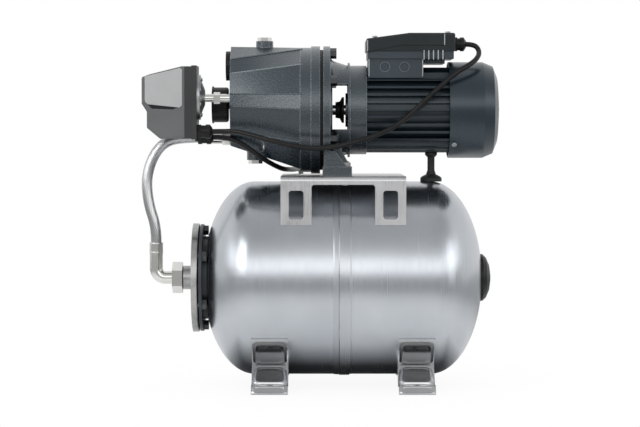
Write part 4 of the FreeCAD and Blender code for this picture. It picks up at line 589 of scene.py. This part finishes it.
def torus_piece(name, centre, ring, wire, shape, plane, finish):
    """A round wire bent into a closed ring.

    Corner = centre + (ring + wire cos p) (cos t a + sin t b) + wire sin p c, with t round the
    ring and p round the wire; plane gives the numbers of the axes a, b and c.
    """
    turn, tube = np.meshgrid(around(shape[0]), around(shape[1]), indexing="ij")
    reach = ring + wire * np.cos(tube)
    corners = np.zeros((*shape, 3))
    corners[..., plane] = np.stack([reach * np.cos(turn), reach * np.sin(turn),
                                    wire * np.sin(tube)], axis=-1)
    outward(add_piece(name, corners.reshape(-1, 3) + centre, grid_faces(*shape, True, True),
                      finish))


# The tank's weld
WELD_LEFT, WELD_RIGHT = -17.0, 15.0
WELD_INSIDE, WELD_OUTSIDE = 134.2, 134.7
WELD_TOE = -6.5
SCALE_HEIGHT, SCALE_REACH = 0.4, 1.1


def soft_step(place, width):
    """A smooth step from 0 to 1: half of 1 + tanh(place / width)."""
    return (1 + np.tanh(place / width)) / 2


def make_weld(finishes):
    """The welded belt round the tank's middle, a closed profile turned about the tank's axis.

    Radius = 134.7 + 1.0 s(x + 13, 2) - 0.6 s(x + 6.3, 0.5) + 0.45 s(x - 5.5, 0.6)
    - 0.85 s(x - 11, 1.8) mm with the smooth step s, so the belt lies sunk between two slow
    ramps. Scales of 0.4 w |sin(150 t + 0.8 sin(37 t))| exp(-((x + 6.5) / 1.1)^2) mm stand on
    the left toe, where t is the turn from the top; w grows from 0.3 on top to 1 below.
    """
    x = np.linspace(WELD_LEFT, WELD_RIGHT, 129)
    outside = (WELD_OUTSIDE + soft_step(x + 13, 2) - 0.6 * soft_step(x + 6.3, 0.5)
               + 0.45 * soft_step(x - 5.5, 0.6) - 0.85 * soft_step(x - 11, 1.8))
    profile_x = np.append(x, [WELD_RIGHT, WELD_LEFT])
    profile_radius = np.append(outside, [WELD_INSIDE, WELD_INSIDE])
    x, turn = np.meshgrid(profile_x, around(720), indexing="ij")
    toe = np.exp(-((x - WELD_TOE) / SCALE_REACH) ** 2)
    share = 0.3 + 0.7 * np.clip(-2.2 * np.cos(turn), 0, 1)
    scales = SCALE_HEIGHT * share * np.abs(np.sin(150 * turn + 0.8 * np.sin(37 * turn))) * toe
    radius = profile_radius[:, None] + scales
    corners = np.stack([x, radius * np.sin(turn), TANK_AXIS + radius * np.cos(turn)], axis=-1)
    outward(add_piece("tank_weld", corners.reshape(-1, 3), grid_faces(*x.shape, True, True),
                      finishes["weld_steel"]))


# The pressure switch
SWITCH_NEAR, SWITCH_FAR = -81.0, -19.0
PANEL = ((-270.5, 430.0), (-222.5, 441.5), (-219.5, 439.5), (-219.5, 390.5), (-223, 387.5),
         (-266.5, 392.0), (-270.5, 396.0))
# Outline of a thin black plate under each panel: a painted shadow
PANEL_SHADOW = ((-266.5, 391.8), (-226, 387.6), (-233, 385.2), (-261, 386.2))
SKIRT = bar(-216.5, -206.5, 345.5, 443.5)


def make_switch_trim(finishes):
    """Paler panels, painted shadows under them as thin black plates, and the dark skirt, on both
    sides of the switch.
    """
    for form, outline, near_proud, far_proud, finish, soft in (
            ("panel", PANEL, 1.1, 1.0, "panel_plastic", 0.6),
            ("panel_shadow", PANEL_SHADOW, 0.4, 0.4, "black_plastic", 0.2),
            ("skirt", SKIRT, 0.8, 0.8, "skirt_plastic", 0.6)):
        for side, near, far in (("near", SWITCH_NEAR - near_proud, SWITCH_NEAR + 1),
                                ("far", SWITCH_FAR - 1, SWITCH_FAR + far_proud)):
            plate_piece(f"switch_{form}_{side}", outline, near, far, finishes[finish],
                        soft)


SCREW_FACE = -195.9
SCREW_COUNT, SCREW_CIRCLE = 8, 26.0
SCREW_RADIUS, SCREW_RISE = 3.4, 2.2
DIAPHRAGM_Y, DIAPHRAGM_Z = -50.0, 402.0


def make_diaphragm_screws(finishes):
    """Eight round screw heads on the diaphragm housing, each a spherical cap.

    Corner = screw + (2.2 sin p, 3.4 cos p cos t, 3.4 cos p sin t), p from 0 to 90 degrees; the
    screws lie at 45 degree steps on a circle of 26 mm.
    """
    place = (FULL_TURN / SCREW_COUNT * (np.arange(SCREW_COUNT) + 0.5))[:, None, None]
    rise = np.radians(np.linspace(0, 90, 7))[None, :, None]
    turn = around(16)[None, None, :]
    wide = SCREW_RADIUS * np.cos(rise)
    corners = np.stack(np.broadcast_arrays(
        SCREW_FACE + SCREW_RISE * np.sin(rise),
        DIAPHRAGM_Y + SCREW_CIRCLE * np.sin(place) + wide * np.cos(turn),
        DIAPHRAGM_Z + SCREW_CIRCLE * np.cos(place) + wide * np.sin(turn)), axis=-1)
    size = 7 * 16
    faces = repeated(grid_faces(7, 16, False, True), SCREW_COUNT, size)
    faces += repeated(np.arange(16)[None, :], SCREW_COUNT, size)
    heads = add_piece("diaphragm_screws", corners.reshape(-1, 3), faces, finishes["zinc"])
    outward(heads, weld=True)


# The lantern between the casing and the motor
LANTERN_LEFT, LANTERN_LENGTH = -18.0, 28.0
WALL_RADIUS, WALL_FALL, WALL_THICKNESS, WALL_FLARE = 70.0, 9.0, 6.0, 3.0
CHEEK = ((-27.5, 296), (9.5, 296), (8.5, 303), (-10.5, 328.5), (-25.5, 329.5))


def cone_wall(name, start, stop, finishes):
    """A cast wall of the lantern between two angles from the top, in degrees.

    Outer radius = 70 - 9 u + 3 exp(-(u / 0.12)^2), for u from 0 at the flange to 1 at the
    motor shield; the inner radius is 6 mm less.
    """
    u = np.linspace(0, 1, 14)
    x = LANTERN_LEFT + LANTERN_LENGTH * u
    outer = WALL_RADIUS - WALL_FALL * u + WALL_FLARE * np.exp(-(u / 0.12) ** 2)
    loop_x = np.concatenate([x, x[::-1]])
    loop_radius = np.concatenate([outer, outer[::-1] - WALL_THICKNESS])
    turn = np.radians(np.linspace(start, stop, 40))[:, None]
    corners = np.stack(np.broadcast_arrays(
        loop_x[None, :], np.sin(turn) * loop_radius, PUMP_AXIS + np.cos(turn) * loop_radius),
        axis=-1)
    outward(add_piece(name, corners.reshape(-1, 3), tube_faces(40, len(loop_x)),
                      finishes["casting"], smooth=False))


def make_lantern_walls(finishes):
    """The lantern's sloping walls and the cheeks of its foot."""
    cone_wall("lantern_wall_top", -52, 52, finishes)
    cone_wall("lantern_wall_low", 121, 239, finishes)
    for name, near, far in (("foot_cheek_near", -81.8, -78.6),
                            ("foot_cheek_far", 78.6, 81.8)):
        plate_piece(name, CHEEK, near, far, finishes["casting"], soft=1.0)


# The casing's facet edges run from a corner (y, z) in front to an angle on the round flange
CASING_LEFT = np.array([(10, 88), (46, 69.5), (55, 49.5), (60, 21.5), (60, 4.6), (50, -29),
                        (30, -50)])
CASING_RIGHT = np.radians([84, 75, 45.5, 14, 0, -31, -72])
CASING_START, CASING_END = -155.2, -56.0
FLANGE_RADIUS = 87.0
BEAD_RADIUS, BEAD_ROWS, BEAD_SIDES = 1.1, 24, 10


def casing_beads(name, edges, finish):
    """Round beads of 1.1 mm radius along some of the casing's facet edges, both sides.

    Corner = start + u (end - start) + 1.1 (cos t side + sin t up), u from 0 to 1.
    """
    corners, faces = [], []
    turn = around(BEAD_SIDES)[:, None]
    u = np.linspace(0, 1, BEAD_ROWS)[:, None, None]
    for way in (-1, 1):
        for (y, z), angle in zip(CASING_LEFT[edges], CASING_RIGHT[edges]):
            start = np.array([CASING_START, way * y, PUMP_AXIS + z])
            end = np.array([CASING_END, way * FLANGE_RADIUS * math.cos(angle),
                            PUMP_AXIS + FLANGE_RADIUS * math.sin(angle)])
            along = (end - start) / np.linalg.norm(end - start)
            side = np.cross(along, [0.0, 0.0, 1.0])
            side /= np.linalg.norm(side)
            ring = BEAD_RADIUS * (np.cos(turn) * side + np.sin(turn) * np.cross(side, along))
            faces += tube_faces(BEAD_ROWS, BEAD_SIDES, len(corners) * BEAD_ROWS * BEAD_SIDES)
            corners.append((start + u * (end - start) + ring).reshape(-1, 3))
    outward(add_piece(name, np.concatenate(corners), faces, finish))


def make_casing_ribs(finishes):
    """The beads on the casing: the upper one is paler as a painted highlight, the others keep
    their paint.
    """
    casing_beads("casing_ribs", [1, 3, 4, 5], finishes["casting"])
    casing_beads("casing_ribs_upper", [2], finishes["casting_highlight"])


# The tank's feet
FOOT_PLACES = (("left", -100), ("right", 100))
SIDES = (("near", 1), ("far", -1))
SADDLE_RADIUS = 136.6
SADDLE_ANGLES = (33.5, 54.5)
SHIN_LINE = ((-74.5, 32.0), (-99.5, 10.9))
LIP_LINE = ((-120.6, 10.6), (-126.6, 0.8))
FOOT_SINK = 0.4
TRIM_GRID = 60


def make_foot_trim(finishes):
    """The pressed forms of the feet: a framed pad on the saddle, near black as painted shade, a
    shin and a rolled lip.

    Each is a sheet over a line (y, z) of the foot's outer face, u from 0 to 1 along it and v
    from -1 to 1 across. Height = e (rise + rim exp(-((m - 0.84) / 0.08)^2)), where
    m = (|v|^6 + |2 u - 1|^6)^(1/6) and e = 1 - m^12 brings the border down to the foot.
    """
    turn = np.radians(np.linspace(*SADDLE_ANGLES[::-1], TRIM_GRID))
    saddle = np.stack([-SADDLE_RADIUS * np.sin(turn),
                       TANK_AXIS - SADDLE_RADIUS * np.cos(turn)], axis=1)
    shin, lip = np.linspace(*SHIN_LINE, TRIM_GRID), np.linspace(*LIP_LINE, TRIM_GRID)
    u, v = np.meshgrid(np.linspace(0, 1, TRIM_GRID), np.linspace(-1, 1, TRIM_GRID),
                       indexing="ij")
    measure = (np.abs(v) ** 6 + np.abs(2 * u - 1) ** 6) ** (1 / 6)
    border = 1 - np.minimum(measure, 1) ** 12
    frame_line = np.exp(-((measure - 0.84) / 0.08) ** 2)
    for form, line, (start, end), rise, rim, finish in (
            ("pad", saddle, (23.5, 23.5), 1.6, 0.9, "pad_steel_painted_shade"),
            ("shin", shin, (20.5, 24.5), 1.6, 0.7, "foot_steel"),
            ("lip", lip, (24.6, 24.9), 0.5, 0.8, "foot_steel")):
        along = np.gradient(line, axis=0)
        along /= np.linalg.norm(along, axis=1)[:, None]
        out = np.stack([along[:, 1], -along[:, 0]], axis=1)[:, None, :]
        height = (border * (rise + rim * frame_line))[..., None]
        over = line[:, None, :] + out * height
        under = np.broadcast_to(line[:, None, :] - out * FOOT_SINK, over.shape)
        half = start + (end - start) * u
        for place, middle in FOOT_PLACES:
            for side, way in SIDES:
                grids = [np.stack([middle + v * half, way * grid[..., 0], grid[..., 1]],
                                  axis=-1) for grid in (over, under)]
                sheet_piece(f"foot_{form}_{place}_{side}", *grids, finishes[finish],
                            "stainless")


# The terminal box
RIB_DEPTHS = (("near", -48.2), ("far", 45.2))
RIB_START, RIB_PITCH, RIB_WIDTH, RIB_LOW, RIB_HIGH = 111.0, 6.5, 1.6, 454, 467
KNOCKOUT_FACE, KNOCKOUT_HEIGHT, KNOCKOUT_RADIUS = -42.1, 444.0, 6.6
HIGHLIGHT_STRIP_WIDTH = 1.4
LID_SKIRT = ((33.2, 464.3), (79.6, 473.6), (140.5, 473.6), (140.5, 489.6), (92.5, 489.6),
             (33.2, 481.8))
# Pale strips on the box's rounded edges: painted highlights
HIGHLIGHT_STRIPS = (("lid_highlight_left", 33.2, 465.5, 481.0, -49.0),
          ("lid_highlight_right", 139.3, 474, 489.4, -49.0),
          ("box_highlight_left", 35.4, 431, 455, -42.8),
          ("box_highlight_right", 109.4, 431, 455, -42.8))


def make_box_trim(finishes):
    """Cooling ribs and knockout rings in pale plastic as painted highlights, the lid's skirt,
    and pale strips as painted highlights on the box's edges.
    """
    for side, near in RIB_DEPTHS:
        # The ribs are pale: painted highlights on their edges
        for index in range(5):
            left = RIB_START + RIB_PITCH * index
            plate_piece(f"box_rib_{side}_{index}",
                        bar(left, left + RIB_WIDTH, RIB_LOW, RIB_HIGH), near, near + 3,
                        finishes["rib_highlight_plastic"], soft=0.4)
    # Knockout rings in paler plastic: a painted highlight on their edges
    for name, x in (("knockout_left", 58.0), ("knockout_right", 85.0)):
        torus_piece(name, (x, KNOCKOUT_FACE, KNOCKOUT_HEIGHT), KNOCKOUT_RADIUS, 0.45, (48, 8),
                    (0, 2, 1), finishes["ring_highlight_plastic"])
    plate_piece("lid_skirt", LID_SKIRT, -48.3, -46, finishes["box_plastic"])
    for name, left, low, high, near in HIGHLIGHT_STRIPS:
        plate_piece(name, bar(left, left + HIGHLIGHT_STRIP_WIDTH, low, high), near, near + 1.5,
                    finishes["rib_highlight_plastic"], soft=0.3)


# The gauge's dial
DIAL_X, DIAL_Y, DIAL_Z = -177.4, 14.0, 392.4
DIAL_RADIUS, DIAL_THICKNESS = 22.6, 0.5
SCALE_START, SCALE_SWEEP = -135, 270
TICK_COUNT, TICK_END, TICK_RISE = 51, 20.6, 0.1
LONG_TICK, SHORT_TICK = (3.4, 0.35), (1.8, 0.18)
NUMBER_CIRCLE = 13.2
BOX_FACES = ((3, 2, 1, 0), (4, 5, 6, 7), (0, 1, 5, 4), (1, 2, 6, 5), (2, 3, 7, 6),
             (3, 0, 4, 7))


def make_dial_plate(finishes):
    """The white plate: a circle of 22.6 mm radius at two depths in X."""
    turn = around(72)
    rim = np.stack([0 * turn + DIAL_X, DIAL_Y + DIAL_RADIUS * np.cos(turn),
                    DIAL_Z + DIAL_RADIUS * np.sin(turn)], axis=-1)
    outward(add_piece("gauge_dial", np.concatenate([rim, rim + [DIAL_THICKNESS, 0, 0]]),
                      tube_faces(2, 72), finishes["white_plastic"],
                      smooth=False))


def make_ticks(finishes):
    """Fifty-one ticks from -135 to 135 degrees, every fifth one longer and wider.

    Corner = middle + reach out +- half width side, at two depths, where out and side turn
    with the tick and reach is the circle of 20.6 mm or the tick's length less.
    """
    index = np.arange(TICK_COUNT)
    length, half_width = np.where(index[:, None] % 5 == 0, LONG_TICK, SHORT_TICK).T
    angle = np.radians(SCALE_START + SCALE_SWEEP * index / (TICK_COUNT - 1))
    out = np.stack([0 * angle, -np.sin(angle), np.cos(angle)], axis=1)[:, None, :]
    side = np.stack([0 * angle, np.cos(angle), np.sin(angle)], axis=1)[:, None, :]
    inner, outer = TICK_END - length, np.full(TICK_COUNT, TICK_END)
    reach = np.stack([inner, inner, outer, outer], axis=1)[..., None]
    across = (half_width[:, None] * np.array([-1, 1, 1, -1]))[..., None]
    middle = np.array([DIAL_X - 0.05, DIAL_Y, DIAL_Z])
    flat = middle + reach * out + across * side
    corners = np.stack([flat, flat - [TICK_RISE, 0, 0]], axis=1)
    outward(add_piece("gauge_ticks", corners.reshape(-1, 3),
                      repeated(BOX_FACES, TICK_COUNT, 8), finishes["needle"],
                      smooth=False))


def make_numbers(finishes):
    """The even numbers 0 to 10 on a circle inside the ticks."""
    upright = Matrix.Rotation(-math.pi / 2, 4, "Z") @ Matrix.Rotation(math.pi / 2, 4, "X")
    for value in range(0, 11, 2):
        angle = math.radians(SCALE_START + SCALE_SWEEP * value / 10)
        text = bpy.data.curves.new(f"number_{value}", "FONT")
        text.body = str(value)
        text.size = 5.2 * MM
        text.extrude = 0.08 * MM
        text.align_x = "CENTER"
        text.align_y = "CENTER"
        writing = bpy.data.objects.new(f"number_{value}", text)
        place = Vector((DIAL_X - 0.12, DIAL_Y - NUMBER_CIRCLE * math.sin(angle),
                        DIAL_Z + NUMBER_CIRCLE * math.cos(angle))) * MM
        mesh = bpy.data.meshes.new_from_object(writing)
        mesh.transform(Matrix.Translation(place) @ upright)
        bpy.data.objects.remove(writing)
        mesh.materials.clear()
        mesh.materials.append(finishes["needle"])
        number = bpy.data.objects.new(f"gauge_number_{value}", mesh)
        bpy.context.collection.objects.link(number)
        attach(number, "chassis")


def make_dial(finishes):
    """The gauge's white dial with ticks and the numbers 0 to 10."""
    make_dial_plate(finishes)
    make_ticks(finishes)
    make_numbers(finishes)


# Routes of the hose and the leads, in millimetres, as in the model
HOSE_ROUTE = [(-184, 12, 347), (-218, 12, 347), (-249, 10, 342), (-267, 8, 320),
              (-276, 6, 288), (-272, 3, 252), (-261.5, 0, 222), (-261.5, 0, 199.5)]
MOTOR_LEAD_ROUTE = [(-179, -66, 355), (-165, -66, 355), (-149, -71, 355.5), (-126, -81, 350.5),
                    (-99, -91, 342.5), (-72, -95, 336), (-45, -97, 332), (-18, -96, 333),
                    (6, -90, 338), (30, -79, 344.5), (52, -71, 352.5), (73, -68, 362.5),
                    (94, -67.5, 379), (113.5, -68.5, 398.5), (133.5, -66, 417),
                    (155, -61, 436), (173, -53, 446), (185, -42, 455), (190, -28, 465),
                    (184, -20, 476), (171, -20, 476)]
MAINS_ROUTE = [(-179, -40, 347), (-165, -40, 347), (-151, -45, 343.5), (-136, -48, 336),
               (-112, -41, 318), (-86, -6, 302.5), (-73, 34, 301), (-65, 74, 301),
               (-60.5, 110, 302), (-58.5, 134, 289),
               (-58, 149, 255), (-57, 157, 205), (-56.5, 160, 150), (-56, 158.5, 97),
               (-56, 158, 52), (-56.5, 164, 21), (-56.5, 179, 6), (-53.5, 200, 3.6)]
LEAD_RADIUS = 0.0035
COIL_TURNS = 4
COIL_CENTRE = (-11.5, 200.0)
COIL_WIDE, COIL_NARROW = 41.6, 34.8
COIL_LOW, COIL_HIGH = 3.6, 10.3


def nurbs(name, points, radius, material):
    """A round cord along a smooth spline whose control points are the route's."""
    curve = bpy.data.curves.new(name, "CURVE")
    curve.dimensions = "3D"
    curve.resolution_u = 12
    curve.bevel_depth = radius
    curve.bevel_resolution = 6
    curve.use_fill_caps = True
    spline = curve.splines.new("NURBS")
    spline.points.add(len(points) - 1)
    for knot, point in zip(spline.points, points):
        knot.co = (*(Vector(point) * MM), 1.0)
    spline.order_u = 3
    spline.use_endpoint_u = True
    curve.materials.append(material)
    cord = bpy.data.objects.new(name, curve)
    bpy.context.collection.objects.link(cord)
    return cord


def centreline(cord):
    """The points along a cord's spline, in metres."""
    curve = cord.data.copy()
    curve.bevel_depth = 0
    helper = bpy.data.objects.new("helper", curve)
    bpy.context.collection.objects.link(helper)
    mesh = bpy.data.meshes.new_from_object(helper)
    points = np.empty(3 * len(mesh.vertices), dtype=np.float32)
    mesh.vertices.foreach_get("co", points)
    bpy.data.objects.remove(helper)
    bpy.data.meshes.remove(mesh)
    return points.reshape(-1, 3).astype(float)


def length_of(points):
    """The length of a line through points."""
    return float(np.linalg.norm(np.diff(points, axis=0), axis=1).sum())


def coil_points():
    """Four turns that lie in two layers of two, as control points every 30 degrees."""
    points = []
    for step in range(1, 12 * COIL_TURNS + 1):
        turn = step / 12
        radius = COIL_WIDE if int(turn) % 4 in (0, 3) else COIL_NARROW
        height = COIL_LOW if turn < 2 else COIL_HIGH
        angle = math.pi + FULL_TURN * turn
        points.append((COIL_CENTRE[0] + radius * math.cos(angle),
                       COIL_CENTRE[1] + radius * math.sin(angle), height))
    return points


def make_cords(finishes):
    """The mains lead with its coil, and the motor lead between its glands."""
    jacket = finishes["cord_jacket"]
    lead = nurbs("motor_lead_cord", MOTOR_LEAD_ROUTE, LEAD_RADIUS, jacket)
    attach(lead, "chassis")
    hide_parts("motor_lead")
    length_of(centreline(lead))
    mains = nurbs("mains_lead_cord", MAINS_ROUTE[:-1] + coil_points(), LEAD_RADIUS, jacket)
    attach(mains, "chassis")
    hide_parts("mains_cord", "mains_coil")
    length_of(centreline(mains))


# The braided hose and its ferrule
HOSE_ROWS, HOSE_SIDES = 620, 96
STRANDS, STRAND_PITCH = 32, 2.6
HOSE_CORE, STRAND_RISE = 7.15, 0.35
FERRULE_X = -261.5


def normals_along(points):
    """Two steady normals along a line that never runs along Y."""
    tangent = np.gradient(points, axis=0)
    tangent /= np.linalg.norm(tangent, axis=1)[:, None]
    across = np.cross(tangent, np.array([0.0, 1.0, 0.0]))
    across /= np.linalg.norm(across, axis=1)[:, None]
    return across, np.cross(tangent, across)


def resample(points, count):
    """Points at equal steps along a line, and how far along each lies."""
    along = np.concatenate([[0], np.cumsum(np.linalg.norm(np.diff(points, axis=0), axis=1))])
    steps = np.linspace(0, along[-1], count)
    even = np.stack([np.interp(steps, along, points[:, axis]) for axis in range(3)], axis=1)
    return even, steps


def make_hose(finishes):
    """The braided hose: a tube whose radius carries two crossing families of strands.

    Radius = 7.15 + 0.35 (w |cos(16 t + k s)| + (1 - w) |cos(16 t - k s)|) mm at the turn t
    and the length s, with k = pi / 5.2 for each millimetre. The share
    w = (1 + tanh(2.5 cos(16 t) cos(k s))) / 2 swaps the families in a chequer of cells.
    """
    guide = nurbs("hose_guide", HOSE_ROUTE, 0.0, finishes["braid"])
    line = centreline(guide)
    bpy.data.objects.remove(guide)
    points, along = resample(line, HOSE_ROWS)
    across, up = (normal[:, None, :] for normal in normals_along(points))
    turn = around(HOSE_SIDES)[None, :]
    wave = STRANDS / 2 * turn
    far = (along / MM)[:, None] * (math.pi / STRAND_PITCH) / 2
    swap = 0.5 + 0.5 * np.tanh(2.5 * np.cos(wave) * np.cos(far))
    crest = swap * np.abs(np.cos(wave + far)) + (1 - swap) * np.abs(np.cos(wave - far))
    radius = ((HOSE_CORE + STRAND_RISE * crest) * MM)[..., None]
    out = np.cos(turn)[..., None] * across + np.sin(turn)[..., None] * up
    corners = (points[:, None, :] + radius * out).reshape(-1, 3)
    hose = add_piece("hose_braid", corners / MM, tube_faces(HOSE_ROWS, HOSE_SIDES),
                     finishes["braid"])
    outward(hose)
    strand = hose.data.attributes.new("strand", "FLOAT", "POINT")
    strand.data.foreach_set("value", crest.ravel())
    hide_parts("braided_hose")


def make_ferrule_rings(finishes):
    """Two crimped rings round the hose's ferrule."""
    for name, height in (("ferrule_ring_top", 198.2), ("ferrule_ring_low", 186.0)):
        torus_piece(name, (FERRULE_X, 0, height), 8.5, 1.2, (64, 12), (0, 1, 2),
                    finishes["nickel"])


bpy.context.scene.view_settings.view_transform = "Standard"
make_camera()
make_floor()
make_light()
FINISHES = make_finishes()
dress(FINISHES)
make_cords(FINISHES)
make_hose(FINISHES)
make_weld(FINISHES)
make_switch_trim(FINISHES)
make_lantern_walls(FINISHES)
make_casing_ribs(FINISHES)
make_foot_trim(FINISHES)
make_ferrule_rings(FINISHES)
make_box_trim(FINISHES)
make_diaphragm_screws(FINISHES)
make_dial(FINISHES)
